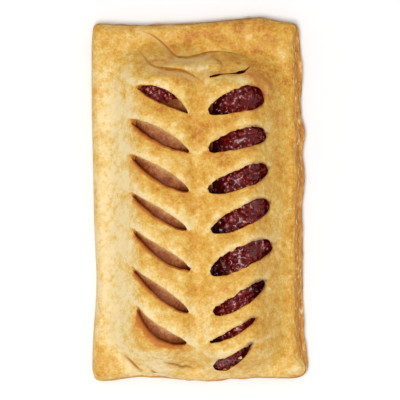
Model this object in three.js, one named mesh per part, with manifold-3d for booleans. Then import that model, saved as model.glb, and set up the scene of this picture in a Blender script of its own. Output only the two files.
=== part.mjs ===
// A vegan frikandel roll: one sheet of puff pastry folded over a skinless sausage and a ridge of dark
// curry sauce, pressed shut round the edge, with a chevron of slits through the lid.
// Millimetres, +Z up. +Y runs along the roll, and the sausage lies on the -X side of the spine.
import * as THREE from "three";
import { mergeVertices } from "three/addons/utils/BufferGeometryUtils.js";
import Module from "manifold-3d";

const wasm = await Module();
wasm.setup();

// Driving heights and thicknesses
const RIM_HEIGHT = 9.5; // both sheets, puffed and pressed together
const CROWN_HEIGHT = 29; // top of the lid over the fillings
const LID = 3.6; // thickness of the pastry over the fillings
const FLOOR = 3; // thickness of the pastry under them
const GAP = 0.4; // air between two pieces

// The pastry's edge seen from above: four curves through [x, y] points that share their corners
const NEAR_EDGE = [
  [-45.2, -76.9], [-42, -77.9], [-34, -76.9], [-24, -75.9], [-14, -76.4], [0, -77.8],
  [12, -77.1], [28, -76.4], [38, -76.6], [43.5, -76], [45.9, -74.2],
];
const FAR_EDGE = [
  [-45.7, 76], [-43, 76.7], [-28, 76.2], [-10, 76.7], [2, 77.4], [16, 78.8], [26, 79.5],
  [32, 78.3], [40, 77.4], [42.4, 76.2],
];
const FOLDED_EDGE = [
  [-45.2, -76.9], [-46.1, -73], [-45.9, -60], [-44.4, -36], [-45.3, -12], [-45.8, 12],
  [-46.4, 40], [-46.4, 70], [-45.7, 76],
];
const LAPPED_EDGE = [
  [45.9, -74.2], [46.9, -70], [45.6, -58], [44.9, -40], [44.6, -5], [45.6, 12], [44.8, 20],
  [45.5, 30], [44, 37.5], [44.5, 55], [43.3, 70], [42.4, 76.2],
];

// How the side of the pastry stands: height as a share of the rim, and how far in from the edge
const SIDE_PROFILE = [
  { height: 0, inset: 1.4, seam: 0, lap: 0 },
  { height: 0.12, inset: 0.2, seam: 0, lap: 0 },
  { height: 0.38, inset: 0, seam: 0, lap: 0 },
  { height: 0.48, inset: 0.1, seam: 1.5, lap: 0.5 },
  { height: 0.58, inset: 0.3, seam: 0.2, lap: 1 },
  { height: 0.84, inset: 0.6, seam: 0.1, lap: 1 },
  { height: 0.97, inset: 2, seam: 0.1, lap: 1 },
];
const CORNER_SHARE = 0.06; // share of a long side over which it turns into the form of the short sides
const LAP_WIDTH = 2.6; // the lower sheet stands out this far past the upper one on the +X side
const FLAKES = { depth: 1, length: 4 }; // how far single layers draw back in the cut sides
const WAVES = [{ height: 0.5, spacing: 17 }, { height: 0.3, spacing: 7 }]; // unevenness of the puffed top

// The two bulges that the fillings raise in the lid. Each falls to the rim at its side and end distances.
const SAUSAGE_BULGE = { x: -14.8, from: -55, to: 44, side: 25.6, nearEnd: 21, farEnd: 25 };
const SAUCE_BULGE = { x: 13.5, from: -60, to: 42, side: 26, nearEnd: 16.5, farEnd: 24 };
const FLAT_SHARE = 0.27; // share of a bulge's half width that stays level
const BLEND = 3; // how sharply the two bulges meet at the spine
const SQUARENESS = { near: 2.1, far: 3.2 }; // 2 gives a bulge a round end, and more gives it a squarer one

const SAUSAGE = { near: [-15.6, -66], far: [-13.6, 48.6], bow: -0.8, width: 27, height: 21.5, cap: 11 };

// The sauce: a ridge beside the sausage, and a part that wraps round the sausage's far end
const SAUCE = [
  { near: -74, far: 56, left: -8, right: 32, steps: 26 },
  { near: 38, far: 56, left: -28, right: 12, steps: 6 },
];
const SAUCE_END = { length: 5, width: 0.5, height: 0.4 }; // how its ends draw in
const SAUCE_SAG = { x: 1, depth: 5, from: 2, to: 13 }; // how much lower it lies beside the sausage
const SAUCE_FULL = { until: -70, from: -60, shrink: 1 }; // near this end it fills its room right up
const SAUCE_SKIRT = 1.5; // least height at its foot
const SAUCE_LUMPS = { height: 0.8, spacing: 5, from: 1, full: 6 }; // full size from this height of sauce on

// The slits, from the far end to the near one. Widths are those towards the inner and the outer end, bow is
// how far the middle of the slit is pushed along the roll, and roll is how far its near edge rolls down.
const SAUSAGE_SLITS = [
  { inner: [-4.8, 37.7], outer: [-27.4, 49.2], bow: 1.7, widths: [5.7, 5.9], roll: 0.8 },
  { inner: [-4.2, 21.1], outer: [-29.9, 35.1], bow: 0.2, widths: [5.6, 5.8], roll: 1.6 },
  { inner: [-4.3, 4.2], outer: [-29.8, 20.1], bow: -0.3, widths: [6.8, 3.9], roll: 1.8 },
  { inner: [-5.1, -12.2], outer: [-29.7, 3.8], bow: -0.5, widths: [5.1, 2.6], roll: 1.8 },
  { inner: [-3.5, -29.4], outer: [-28.9, -11.8], bow: -1.2, widths: [6, 2.3], roll: 1.8 },
  { inner: [-4.4, -47.7], outer: [-29.1, -28.3], bow: -0.6, widths: [6.3, 1.9], roll: 1.8 },
  { inner: [-5.2, -60.8], outer: [-26.9, -44.9], bow: -3.2, widths: [6.4, 2.8], roll: 3.6 },
];
const SAUCE_SLITS = [
  { inner: [3.7, 38.2], outer: [27.5, 45.5], bow: 1.1, widths: [6.1, 12.9], roll: 0.3 },
  { inner: [3.7, 22.1], outer: [28.6, 29.1], bow: 0.9, widths: [6.2, 10.2], roll: 0.3 },
  { inner: [3.5, 4.6], outer: [29.3, 14.5], bow: -0.4, widths: [6.6, 9.4], roll: 0.3 },
  { inner: [4.8, -12.8], outer: [29.8, -0.4], bow: -0.5, widths: [7, 9.5], roll: 0.3 },
  { inner: [4.5, -31], outer: [31, -18.2], bow: 0.5, widths: [8.3, 9.4], roll: 0.3 },
  { inner: [5.8, -48], outer: [28, -34.2], bow: -1.3, widths: [6.4, 6], roll: 0.2 },
  { inner: [4.2, -60.4], outer: [24, -49.8], bow: -1.1, widths: [2.7, 3], roll: 0.3 },
  { inner: [5.9, -71.5], outer: [22.5, -60.8], bow: -1.7, widths: [7.2, 1.5], roll: 0.3 },
];
// How each kind of slit is cut: the form of its ends, how deep it goes, and how deep it is at its outer end
const OVER_SAUSAGE = { roundness: 2, bluntness: 0.75, depth: 8, outerDepth: 1.4 };
const OVER_SAUCE = { roundness: 3, bluntness: 0.5, depth: 9, outerDepth: 9 };
const SLITS = [
  ...SAUSAGE_SLITS.map((slit) => ({ ...slit, ...OVER_SAUSAGE })),
  ...SAUCE_SLITS.map((slit) => ({ ...slit, ...OVER_SAUCE })),
];
// How far the lid falls towards a slit on each side of it, and over what distance
const NEAR_LIP = { drop: 1.5, reach: 3.6 };
const FAR_LIP = { drop: 0.4, reach: 1.8 };
const FULL_LIP_WIDTH = 4; // a slit narrower than this has lower lips
const INNER_LIP = { share: 0.25, until: 0.3 }; // lips are this low at a slit's inner end
const INNER_ROLL = { share: 0.35, until: 0.6 }; // and the near edge rolls down this little there
const OUTER_ROLL = 8; // how sharply the rolled edge dies out at a slit's outer end
const ROLL_MIDDLE = { out: 0.34, down: 0.25 }; // a point of the rolled edge, in shares of its width and depth
const ROLL_REACH = 0.9; // a rolled edge takes up at most this share of a shallow slit's depth
const RUN_OUT_FROM = 0.86; // share of a slit's length from which its depth changes to that of its outer end
const CLEAR = 2; // how far cutters stand above the lid

// Creases where the sheet folded over itself, each a curve through [x, y] points. A step is how far the sheet
// on a curve's left side lies above the other side.
const CREASES = [
  {
    through: [[-27.4, 74], [-22.7, 72.6], [-19.2, 70.8], [-14.5, 66.9], [-10.4, 62.7], [-6.7, 62],
      [-3.5, 62.3], [4.3, 64.2], [11.1, 64.3], [16.5, 63.2], [20, 62]],
    valley: 0.9, step: 1.5,
  },
  {
    through: [[-26.5, 65.5], [-23.8, 62.3], [-20.3, 58.5], [-14.2, 56.9], [-8.5, 56.3], [-4.2, 54.8],
      [0.4, 51.9], [2.4, 50]],
    valley: 0.5, step: 1.5,
  },
  { through: [[7.9, 55.3], [9.6, 57.4], [9.1, 59.4], [7.5, 60.8], [4.7, 62.6]], valley: 0.3, step: 1 },
  { through: [[-32.9, -65.5], [-29.2, -68.7], [-26, -71.9], [-23.4, -72.9]], valley: 0.8, step: 0.5 },
  { through: [[-21.4, -72.1], [-19.1, -73.6], [-16.8, -75.1]], valley: 0.6, step: 0.4 },
  { through: [[-15.8, -69], [-9.9, -70], [-7.6, -71], [-5.3, -70.7], [-1.5, -72.2]], valley: 0.6, step: 0.6 },
];
// Rolls of dough at the far end: the tongue between the creases, its tail, and the lobe beside it. Each is a
// curve with the roll's half width at its two ends.
const ROLLS = [
  {
    through: [[-15.5, 57.9], [-10, 58.5], [-5, 58.1], [-1.5, 58.6], [3, 59.4], [7, 59.3]],
    halfWidths: [0.8, 3], height: 2.6,
  },
  { through: [[3.2, 57.5], [3, 54.5], [2.4, 51]], halfWidths: [2.2, 1.2], height: 1.4 },
  { through: [[11, 60.6], [15, 60.1], [19.5, 58.9]], halfWidths: [3.8, 2.8], height: 2.4 },
];
const ROLL_EDGE = 3; // how sharply the side of a roll falls
// The crack under the lobe and the tongue's end, with its width and depth at each point
const CRACK = [
  { at: [4.3, 53.3], width: 0.7, depth: 3 },
  { at: [7.3, 54], width: 0.9, depth: 6 },
  { at: [9.6, 54.5], width: 0.45, depth: 4 },
  { at: [13.4, 54.7], width: 0.35, depth: 3 },
  { at: [15.6, 54.9], width: 0.6, depth: 6 },
  { at: [17, 55.2], width: 1.7, depth: 11 },
  { at: [19.2, 55.8], width: 1, depth: 6 },
  { at: [21.6, 57.8], width: 0.3, depth: 0.8 },
];
const CREASE_VALLEY = 2.4; // half width of the soft valley beside a crease
const CREASE_FADE = 5; // how far from a crease its step dies out
const CREASE_CUT = { half: 0.8, depth: 1.8, tip: 0.15 }; // the sharp groove along a crease

// Stretches of the top's grid, [from, to, steps] in shares of its width and of its length, and other steps
const ACROSS = [[0, 0.06, 1], [0.06, 0.27, 6], [0.27, 0.74, 13], [0.74, 0.94, 5], [0.94, 1, 1]];
const ALONG = [[0, 0.12, 7], [0.12, 0.81, 25], [0.81, 0.95, 10], [0.95, 1, 1]];
// Share of a body's length left off at each end, so that it closes with a small face
const BLUNT_END = { slit: 0.012, sausage: 0.03, sauce: 0.004 };
const CREASE_SAMPLES = 24;
const CREASE_STEPS = 8;
const SLIT_STEPS = 7;
const SAUSAGE_STEPS = 20;
const SAUSAGE_SIDES = 16;
const SAUCE_SIDES = 9;

const clamp = THREE.MathUtils.clamp;
const mix = THREE.MathUtils.lerp;
const smooth = (from, to, value) => THREE.MathUtils.smoothstep(value, from, to);

// A fixed number from -1 to 1 for each lattice point.
function lattice(i, j, seed) {
  const n = Math.sin(i * 127.1 + j * 311.7 + seed * 74.7) * 43758.5453;
  return 2 * (n - Math.floor(n)) - 1;
}

// Smooth noise from -1 to 1, with bumps about as wide as the spacing.
function noise(x, y, spacing, seed) {
  const [u, v] = [x / spacing, y / spacing];
  const [i, j] = [Math.floor(u), Math.floor(v)];
  const [a, b] = [smooth(0, 1, u - i), smooth(0, 1, v - j)];
  const near = mix(lattice(i, j, seed), lattice(i + 1, j, seed), a);
  const far = mix(lattice(i, j + 1, seed), lattice(i + 1, j + 1, seed), a);
  return mix(near, far, b);
}

// 1 over a filling and 0 out on the rim. shrink gives the same form that much inside.
function bulge(shape, x, y, shrink) {
  const across = Math.abs(x - shape.x) / (shape.side - shrink);
  const past = y - clamp(y, shape.from, shape.to);
  const along = Math.abs(past) / ((past > 0 ? shape.farEnd : shape.nearEnd) - shrink);
  const power = past > 0 ? SQUARENESS.far : SQUARENESS.near;
  return 1 - smooth(FLAT_SHARE, 1, (across ** power + along ** power) ** (1 / power));
}

// The lid's height with no slits, creases or relief.
function plainLid(x, y, shrink = 0) {
  const rises = [SAUSAGE_BULGE, SAUCE_BULGE].map((shape) => bulge(shape, x, y, shrink) ** BLEND);
  return RIM_HEIGHT + (CROWN_HEIGHT - RIM_HEIGHT) * (rises[0] + rises[1]) ** (1 / BLEND);
}

// A slit's middle line and half width at a share t of its length, from its inner end.
function slitAt(slit, t) {
  const along = new THREE.Vector2(slit.outer[0] - slit.inner[0], slit.outer[1] - slit.inner[1]);
  const length = along.length();
  along.divideScalar(length);
  const side = new THREE.Vector2(-along.y, along.x);
  if (side.y < 0) side.negate();
  const middle = new THREE.Vector2(...slit.inner)
    .addScaledVector(along, length * t)
    .addScaledVector(side, slit.bow * 4 * t * (1 - t));
  const fullness = Math.max(1 - Math.abs(2 * t - 1) ** slit.roundness, 0) ** slit.bluntness;
  return { middle, side, along, length, half: 0.5 * mix(...slit.widths, t) * fullness };
}

// How far the lid rolls down beside the slits.
function lipDrop(x, y) {
  let drop = 0;
  for (const slit of SLITS) {
    const { along, length } = slitAt(slit, 0);
    const t = ((x - slit.inner[0]) * along.x + (y - slit.inner[1]) * along.y) / length;
    const here = slitAt(slit, clamp(t, 0, 1));
    const off = (x - here.middle.x) * here.side.x + (y - here.middle.y) * here.side.y;
    const beyond = Math.abs(t - clamp(t, 0, 1)) * length;
    const clear = Math.hypot(Math.max(Math.abs(off) - here.half, 0), beyond);
    const far = smooth(-1, 1, off / Math.max(here.half, 1));
    const reach = mix(NEAR_LIP.reach, FAR_LIP.reach, far);
    const fromInner = mix(INNER_LIP.share, 1, smooth(0, INNER_LIP.until, clamp(t, 0, 1)));
    const strength = Math.min(1, Math.max(...slit.widths) / FULL_LIP_WIDTH) * fromInner;
    const full = strength * mix(NEAR_LIP.drop, FAR_LIP.drop, far);
    drop = Math.max(drop, full * Math.exp(-((clear / reach) ** 2)));
  }
  return drop;
}

const flatCurve = ({ through }) =>
  new THREE.CatmullRomCurve3(through.map(([x, y]) => new THREE.Vector3(x, y, 0)));

const CREASE_POINTS = CREASES.map((crease) => flatCurve(crease).getSpacedPoints(CREASE_SAMPLES));
const ROLL_POINTS = ROLLS.map((roll) => flatCurve(roll).getSpacedPoints(CREASE_SAMPLES));

// The distance from a place to the nearest of a curve's points, and the number of that point.
function nearestPoint(points, x, y) {
  const distances = points.map((p) => Math.hypot(p.x - x, p.y - y));
  const away = Math.min(...distances);
  return { away, nearest: distances.indexOf(away) };
}

// How far the lid rises or dips beside the creases.
function creaseShift(x, y) {
  let shift = 0;
  CREASES.forEach((crease, n) => {
    const points = CREASE_POINTS[n];
    const { away, nearest } = nearestPoint(points, x, y);
    const [from, to] = [points[Math.max(nearest - 1, 0)], points[Math.min(nearest + 1, CREASE_SAMPLES)]];
    const left = (to.x - from.x) * (y - from.y) - (to.y - from.y) * (x - from.x) > 0;
    const ends = Math.sqrt(Math.sin((Math.PI * nearest) / CREASE_SAMPLES));
    if (left) shift += crease.step * ends * Math.exp(-((away / CREASE_FADE) ** 2));
    shift -= crease.valley * Math.exp(-((away / CREASE_VALLEY) ** 2));
  });
  return shift;
}

// How far the rolls of dough rise at a point.
function rollRise(x, y) {
  return ROLLS.reduce((rise, roll, n) => {
    const { away, nearest } = nearestPoint(ROLL_POINTS[n], x, y);
    const half = mix(...roll.halfWidths, nearest / CREASE_SAMPLES);
    return Math.max(rise, roll.height * Math.exp(-((away / half) ** ROLL_EDGE)));
  }, 0);
}

// The height of the pastry's top at a point.
function pastryTop(x, y) {
  const waves = WAVES.map((wave) => wave.height * noise(x, y, wave.spacing, wave.spacing));
  return plainLid(x, y) + waves[0] + waves[1] - lipDrop(x, y) + creaseShift(x, y) + rollRise(x, y);
}

// A closed triangle mesh from a flat list of corner points, three to a face.
function meshOf(corners) {
  const geometry = new THREE.BufferGeometry();
  geometry.setAttribute("position", new THREE.Float32BufferAttribute(corners.flatMap((p) => p.toArray()), 3));
  return mergeVertices(geometry, 1e-4);
}

// The faces between two closed rows of points, seen from outside with the second row above the first.
function band(lower, upper) {
  return lower.flatMap((a, k) => {
    const next = (k + 1) % lower.length;
    return [a, lower[next], upper[next], a, upper[next], upper[k]];
  });
}

// A fan from the middle of a closed row of points.
function fan(row) {
  const middle = row.reduce((sum, p) => sum.add(p), new THREE.Vector3()).divideScalar(row.length);
  return row.flatMap((a, k) => [middle, a, row[(k + 1) % row.length]]);
}

// A closed body through a list of closed rows of points.
function loft(rows) {
  const sides = rows.slice(1).flatMap((row, k) => band(rows[k], row));
  return meshOf([...fan([...rows[0]].reverse()), ...sides, ...fan(rows.at(-1))]);
}

function solidOf(geometry) {
  const vertProperties = new Float32Array(geometry.getAttribute("position").array);
  const triVerts = new Uint32Array(geometry.index.array);
  return new wasm.Manifold(new wasm.Mesh({ numProp: 3, vertProperties, triVerts }));
}

function geometryOf(solid) {
  const { vertProperties, triVerts } = solid.getMesh();
  const geometry = new THREE.BufferGeometry();
  geometry.setAttribute("position", new THREE.BufferAttribute(vertProperties, 3));
  geometry.setIndex(new THREE.BufferAttribute(triVerts, 1));
  geometry.computeVertexNormals();
  return geometry;
}

// Shares from 0 to 1 where grid lines lie, from [from, to, steps] stretches.
function gridShares(stretches) {
  const shares = stretches.flatMap(([from, to, steps]) =>
    Array.from({ length: steps }, (_, k) => mix(from, to, k / steps)),
  );
  return [...shares, 1];
}

const U = gridShares(ACROSS);
const V = gridShares(ALONG);

const edgePoints = (edge, shares) => {
  const curve = new THREE.CatmullRomCurve3(edge.map(([x, y]) => new THREE.Vector3(x, y, 0)));
  return shares.map((share) => curve.getPointAt(share));
};

// The whole outline, anticlockwise from the near left corner, with what the side looks like at each point:
// cut is 1 where the layers were cut and 0 along the fold, and lap is 1 where the lower sheet stands out.
function outline() {
  const endFade = (share) => smooth(0, CORNER_SHARE, Math.min(share, 1 - share));
  const near = edgePoints(NEAR_EDGE, U).map((p) => ({ p, cut: 1, lap: 0 }));
  const far = edgePoints(FAR_EDGE, U).map((p) => ({ p, cut: 1, lap: 0 }));
  const folded = edgePoints(FOLDED_EDGE, V).map((p, k) => ({ p, cut: 1 - endFade(V[k]), lap: 0 }));
  const lapped = edgePoints(LAPPED_EDGE, V).map((p, k) => ({ p, cut: 1, lap: endFade(V[k]) }));
  const parts = [near, lapped, far.reverse(), folded.reverse()];
  const loop = parts.flatMap((part) => part.slice(0, -1));
  return loop.map((here, k) => {
    const before = loop.at(k - 1).p;
    const after = loop[(k + 1) % loop.length].p;
    const inward = new THREE.Vector3(before.y - after.y, after.x - before.x, 0).normalize();
    return { ...here, inward };
  });
}

// The side's rows of points, from the floor up.
function sideRows(loop) {
  return SIDE_PROFILE.map((level, row) =>
    loop.map(({ p, cut, lap, inward }) => {
      const flake = Math.max(0, noise(p.x + p.y, row * FLAKES.length, FLAKES.length, row));
      const inset = level.inset + cut * (level.seam + FLAKES.depth * flake) + level.lap * lap * LAP_WIDTH;
      const at = p.clone().addScaledVector(inward, inset);
      return at.setZ(level.height * pastryTop(at.x, at.y));
    }),
  );
}

// The top as a grid between the four stretches of the side's last row.
function topFaces(rim) {
  const [across, along] = [U.length - 1, V.length - 1];
  const near = (i) => rim[i];
  const right = (j) => rim[across + j];
  const far = (i) => rim[2 * across + along - i];
  const left = (j) => rim[(rim.length - j) % rim.length];
  const at = (i, j) => {
    if (j === 0) return near(i);
    if (j === along) return far(i);
    if (i === 0) return left(j);
    if (i === across) return right(j);
    const [u, v] = [U[i], V[j]];
    const point = new THREE.Vector3()
      .addScaledVector(near(i), 1 - v)
      .addScaledVector(far(i), v)
      .addScaledVector(left(j), 1 - u)
      .addScaledVector(right(j), u)
      .addScaledVector(near(0), -(1 - u) * (1 - v))
      .addScaledVector(near(across), -u * (1 - v))
      .addScaledVector(far(0), -(1 - u) * v)
      .addScaledVector(far(across), -u * v);
    return point.setZ(pastryTop(point.x, point.y));
  };
  const grid = U.map((_, i) => V.map((_, j) => at(i, j)));
  const faces = [];
  for (let i = 0; i < across; i++)
    for (let j = 0; j < along; j++) {
      const [a, b, c, d] = [grid[i][j], grid[i + 1][j], grid[i + 1][j + 1], grid[i][j + 1]];
      faces.push(a, b, c, a, c, d);
    }
  return faces;
}

function pastryBlock() {
  const rows = sideRows(outline());
  const sides = rows.slice(1).flatMap((row, k) => band(rows[k], row));
  return meshOf([...fan([...rows[0]].reverse()), ...sides, ...topFaces(rows.at(-1))]);
}

// The space that a slit's knife opens. Its far wall is upright, its near edge rolls down into it, and over
// the sausage its outer end is a shallow groove.
function slitCutter(slit) {
  const rows = [];
  for (let k = 0; k <= SLIT_STEPS; k++) {
    const t = clamp(0.5 - 0.5 * Math.cos((Math.PI * k) / SLIT_STEPS), BLUNT_END.slit, 1 - BLUNT_END.slit);
    const { middle, side, half } = slitAt(slit, t);
    const inner = mix(INNER_ROLL.share, 1, smooth(0, INNER_ROLL.until, t));
    const roll = slit.roll * inner * (1 - t ** OUTER_ROLL);
    const point = (off, z) => new THREE.Vector3(middle.x + side.x * off, middle.y + side.y * off, z);
    const topAt = (off) => pastryTop(middle.x + side.x * off, middle.y + side.y * off);
    const [nearTop, farTop] = [topAt(-half - roll), topAt(half)];
    const depth = mix(slit.depth, slit.outerDepth, smooth(RUN_OUT_FROM, 1, t));
    const floor = plainLid(middle.x, middle.y) - depth;
    const rollDepth = Math.min(LID, ROLL_REACH * (nearTop - floor));
    const row = [
      point(half, farTop + CLEAR), point(-half - roll, nearTop + CLEAR), point(-half - roll, nearTop),
      point(-half - ROLL_MIDDLE.out * roll, nearTop - ROLL_MIDDLE.down * rollDepth),
      point(-half, nearTop - rollDepth), point(-half, floor), point(half, floor),
    ];
    rows.push(slit.outer[0] > slit.inner[0] ? row : row.reverse());
  }
  return loft(rows);
}

// A groove that follows a crease along the top of the pastry and runs out at both ends.
function creaseCutter(crease) {
  const curve = flatCurve(crease);
  const rows = curve.getSpacedPoints(CREASE_STEPS).map((p, k) => {
    const t = k / CREASE_STEPS;
    const ahead = curve.getTangentAt(t);
    const size = mix(CREASE_CUT.tip, 1, Math.sqrt(4 * t * (1 - t)));
    const top = pastryTop(p.x, p.y);
    return [0, 1, 2, 3].map((corner) => {
      const turn = (corner * Math.PI) / 2;
      const off = CREASE_CUT.half * size * Math.cos(turn);
      const up = CREASE_CUT.depth * size * Math.sin(turn);
      return new THREE.Vector3(p.x - ahead.y * off, p.y + ahead.x * off, top + up);
    });
  });
  return loft(rows);
}

// The crack, as an upright cut whose width and depth change along it.
function crackCutter() {
  const curve = flatCurve({ through: CRACK.map(({ at }) => at) });
  const rows = CRACK.map(({ at: [x, y], width, depth }, k) => {
    const ahead = curve.getTangent(k / (CRACK.length - 1));
    const point = (off, z) => new THREE.Vector3(x - ahead.y * off, y + ahead.x * off, z);
    const [top, half] = [pastryTop(x, y), width / 2];
    const [high, low] = [top + CLEAR, top - depth];
    return [point(half, high), point(-half, high), point(-half, low), point(half, low)];
  });
  return loft(rows);
}

// The sausage, lying on the pastry's floor and rounded at both ends.
function sausageBody(grow = 0) {
  const { near, far, bow, width, height, cap } = SAUSAGE;
  const [from, to] = [near[1] - grow, far[1] + grow];
  const rows = [];
  for (let k = 0; k <= SAUSAGE_STEPS; k++) {
    const share = mix(BLUNT_END.sausage, 1 - BLUNT_END.sausage, k / SAUSAGE_STEPS);
    const t = 0.5 - 0.5 * Math.cos(Math.PI * share);
    const y = mix(from, to, t);
    const fromEnd = Math.min(y - from, to - y, cap);
    const round = Math.sqrt(1 - (1 - fromEnd / cap) ** 2);
    const x = mix(near[0], far[0], t) + bow * Math.sin(Math.PI * t);
    rows.push(
      Array.from({ length: SAUSAGE_SIDES }, (_, n) => {
        const turn = (2 * Math.PI * n) / SAUSAGE_SIDES;
        return new THREE.Vector3(
          x - (width / 2 + grow) * round * Math.cos(turn),
          y,
          FLOOR + GAP + height / 2 + (height / 2 + grow) * round * Math.sin(turn),
        );
      }),
    );
  }
  return loft(rows);
}

// The top of the room for the sauce: it follows the lid's underside and sags beside the sausage.
function sauceRoomTop(x, y) {
  const usual = smooth(SAUCE_FULL.until, SAUCE_FULL.from, y);
  const under = plainLid(x, y, mix(SAUCE_FULL.shrink, LID, usual)) - LID - GAP;
  const sag = SAUCE_SAG.depth * (1 - smooth(SAUCE_SAG.from, SAUCE_SAG.to, Math.abs(x - SAUCE_SAG.x)));
  return Math.max(under - sag * usual, FLOOR + SAUCE_SKIRT);
}

// One part of the room for the sauce, or with hollow given, the same form with a lumpy top that much lower.
function sauceRidge(part, hollow) {
  const [middle, width] = [(part.left + part.right) / 2, part.right - part.left];
  const rows = [];
  for (let k = 0; k <= part.steps; k++) {
    const share = mix(BLUNT_END.sauce, 1 - BLUNT_END.sauce, k / part.steps);
    const y = mix(part.near, part.far, share);
    const toEnd = Math.min(y - part.near, part.far - y, SAUCE_END.length) / SAUCE_END.length;
    const round = Math.sqrt(1 - (1 - toEnd) ** 2);
    const half = (width / 2) * mix(SAUCE_END.width, 1, round);
    const top = Array.from({ length: SAUCE_SIDES }, (_, n) => {
      const x = middle + half * Math.cos((Math.PI * (n + 0.5)) / SAUCE_SIDES);
      const height = (sauceRoomTop(x, y) - FLOOR) * mix(SAUCE_END.height, 1, round);
      const thick = smooth(SAUCE_LUMPS.from, SAUCE_LUMPS.full, height);
      const lower = (hollow / 2) * (1 + noise(x, y, SAUCE_LUMPS.spacing, 1)) * thick;
      return new THREE.Vector3(x, y, FLOOR + height - lower);
    });
    const base = [middle - half, middle + half].map((x) => new THREE.Vector3(x, y, FLOOR));
    rows.push([...base, ...top].reverse());
  }
  return loft(rows);
}

const sauceSolid = (hollow) =>
  SAUCE.map((part) => solidOf(sauceRidge(part, hollow))).reduce((all, part) => all.add(part));

// What lies inside a body by at least the gap along every axis.
function drawnIn(solid, room) {
  const shifts = [[GAP, 0, 0], [-GAP, 0, 0], [0, GAP, 0], [0, -GAP, 0], [0, 0, GAP], [0, 0, -GAP]];
  return shifts.reduce((body, by) => body.intersect(room.translate(by)), solid);
}

function pastry() {
  const cavity = solidOf(sausageBody(GAP)).add(sauceSolid(0));
  const hollow = solidOf(pastryBlock()).subtract(cavity);
  const cutters = [...SLITS.map(slitCutter), ...CREASES.map(creaseCutter), crackCutter()];
  return cutters.reduce((body, cutter) => body.subtract(solidOf(cutter)), hollow);
}

function sauce() {
  return drawnIn(sauceSolid(SAUCE_LUMPS.height), sauceSolid(0)).subtract(solidOf(sausageBody(GAP)));
}

// The largest of the bodies that a cut leaves; the rest are scraps.
function largestBody(solid) {
  return solid.decompose().reduce((best, body) => (body.volume() > best.volume() ? body : best));
}

function namedMesh(name, solid, color, roughness) {
  const material = new THREE.MeshStandardMaterial({ color, roughness, metalness: 0 });
  const mesh = new THREE.Mesh(geometryOf(solid), material);
  mesh.name = name;
  return mesh;
}

const roll = new THREE.Group();
roll.add(
  namedMesh("pastry", largestBody(pastry()), 0xdcaa58, 0.5),
  namedMesh("frikandel", solidOf(sausageBody()), 0x9a6243, 0.6),
  namedMesh("curry_sauce", largestBody(sauce()), 0x5c1a12, 0.25),
);

// The origin lies under the middle of the roll's box.
const box = new THREE.Box3().setFromObject(roll);
const centre = box.getCenter(new THREE.Vector3());
roll.position.set(-centre.x, -centre.y, -box.min.z);

export default roll;
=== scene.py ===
# %% [markdown]
# # A vegan frikandel roll
#
# The roll is one sheet of puff pastry, folded over a brown sausage and a ridge of dark curry sauce, and
# baked. Slits through the lid show the sausage on the left of the spine and the sauce on its right. The
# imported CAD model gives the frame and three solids: pastry, frikandel and curry_sauce. This lesson gives
# each of them a finer surface and a baked, greasy or wet finish.

# %% Load the frame
import collections
import math

import bpy
import numpy as np
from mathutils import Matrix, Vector


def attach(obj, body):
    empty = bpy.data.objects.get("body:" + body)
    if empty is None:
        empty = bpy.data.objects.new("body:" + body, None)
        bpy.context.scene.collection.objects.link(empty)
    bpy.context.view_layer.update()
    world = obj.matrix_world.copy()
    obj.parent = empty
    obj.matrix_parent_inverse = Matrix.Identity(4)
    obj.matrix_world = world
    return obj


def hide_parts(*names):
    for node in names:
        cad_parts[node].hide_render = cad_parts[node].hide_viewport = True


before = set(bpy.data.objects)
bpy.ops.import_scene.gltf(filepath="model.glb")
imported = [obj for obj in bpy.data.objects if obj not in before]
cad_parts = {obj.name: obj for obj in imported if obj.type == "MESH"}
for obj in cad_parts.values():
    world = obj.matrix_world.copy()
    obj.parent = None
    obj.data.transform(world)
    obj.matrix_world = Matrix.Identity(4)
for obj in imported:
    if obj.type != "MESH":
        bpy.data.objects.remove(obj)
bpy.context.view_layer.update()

# %% [markdown]
# ## Sizes
#
# The form follows rules, so it is worked out again here from the same named sizes as the solids, only with
# smaller steps. Sizes are in millimetres in the frame of the photograph, where one pixel is 0.43 mm, and
# are turned into metres when a mesh is made. BOX_MIDDLE is where the middle of the pastry's box lies in
# that frame, because the CAD model has its origin under it.

# %% Named sizes
MM = 0.001
PIXEL = 0.43
IMAGE_SIDE = 400
BOX_MIDDLE = (0.167, 0.864)

RIM_HEIGHT = 9.5
CROWN_HEIGHT = 29.0
LID = 3.6
FLOOR = 3.0
GAP = 0.4

NEAR_EDGE = [
    (-45.2, -76.9), (-42, -77.9), (-34, -76.9), (-24, -75.9), (-14, -76.4), (0, -77.8),
    (12, -77.1), (28, -76.4), (38, -76.6), (43.5, -76), (45.9, -74.2),
]
FAR_EDGE = [
    (-45.7, 76), (-43, 76.7), (-28, 76.2), (-10, 76.7), (2, 77.4), (16, 78.8), (26, 79.5),
    (32, 78.3), (40, 77.4), (42.4, 76.2),
]
FOLDED_EDGE = [
    (-45.2, -76.9), (-46.1, -73), (-45.9, -60), (-44.4, -36), (-45.3, -12), (-45.8, 12),
    (-46.4, 40), (-46.4, 70), (-45.7, 76),
]
LAPPED_EDGE = [
    (45.9, -74.2), (46.9, -70), (45.6, -58), (44.9, -40), (44.6, -5), (45.6, 12), (44.8, 20),
    (45.5, 30), (44, 37.5), (44.5, 55), (43.3, 70), (42.4, 76.2),
]

SAUSAGE_BULGE = {"x": -14.8, "from": -55, "to": 44, "side": 25.6, "near_end": 21, "far_end": 25}
SAUCE_BULGE = {"x": 13.5, "from": -60, "to": 42, "side": 26, "near_end": 16.5, "far_end": 24}
FLAT_SHARE = 0.27
BLEND = 3
SQUARENESS = {"near": 2.1, "far": 3.2}

print("one pixel in mm:", PIXEL, "and the outline in pixels: 217 by 366")

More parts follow.
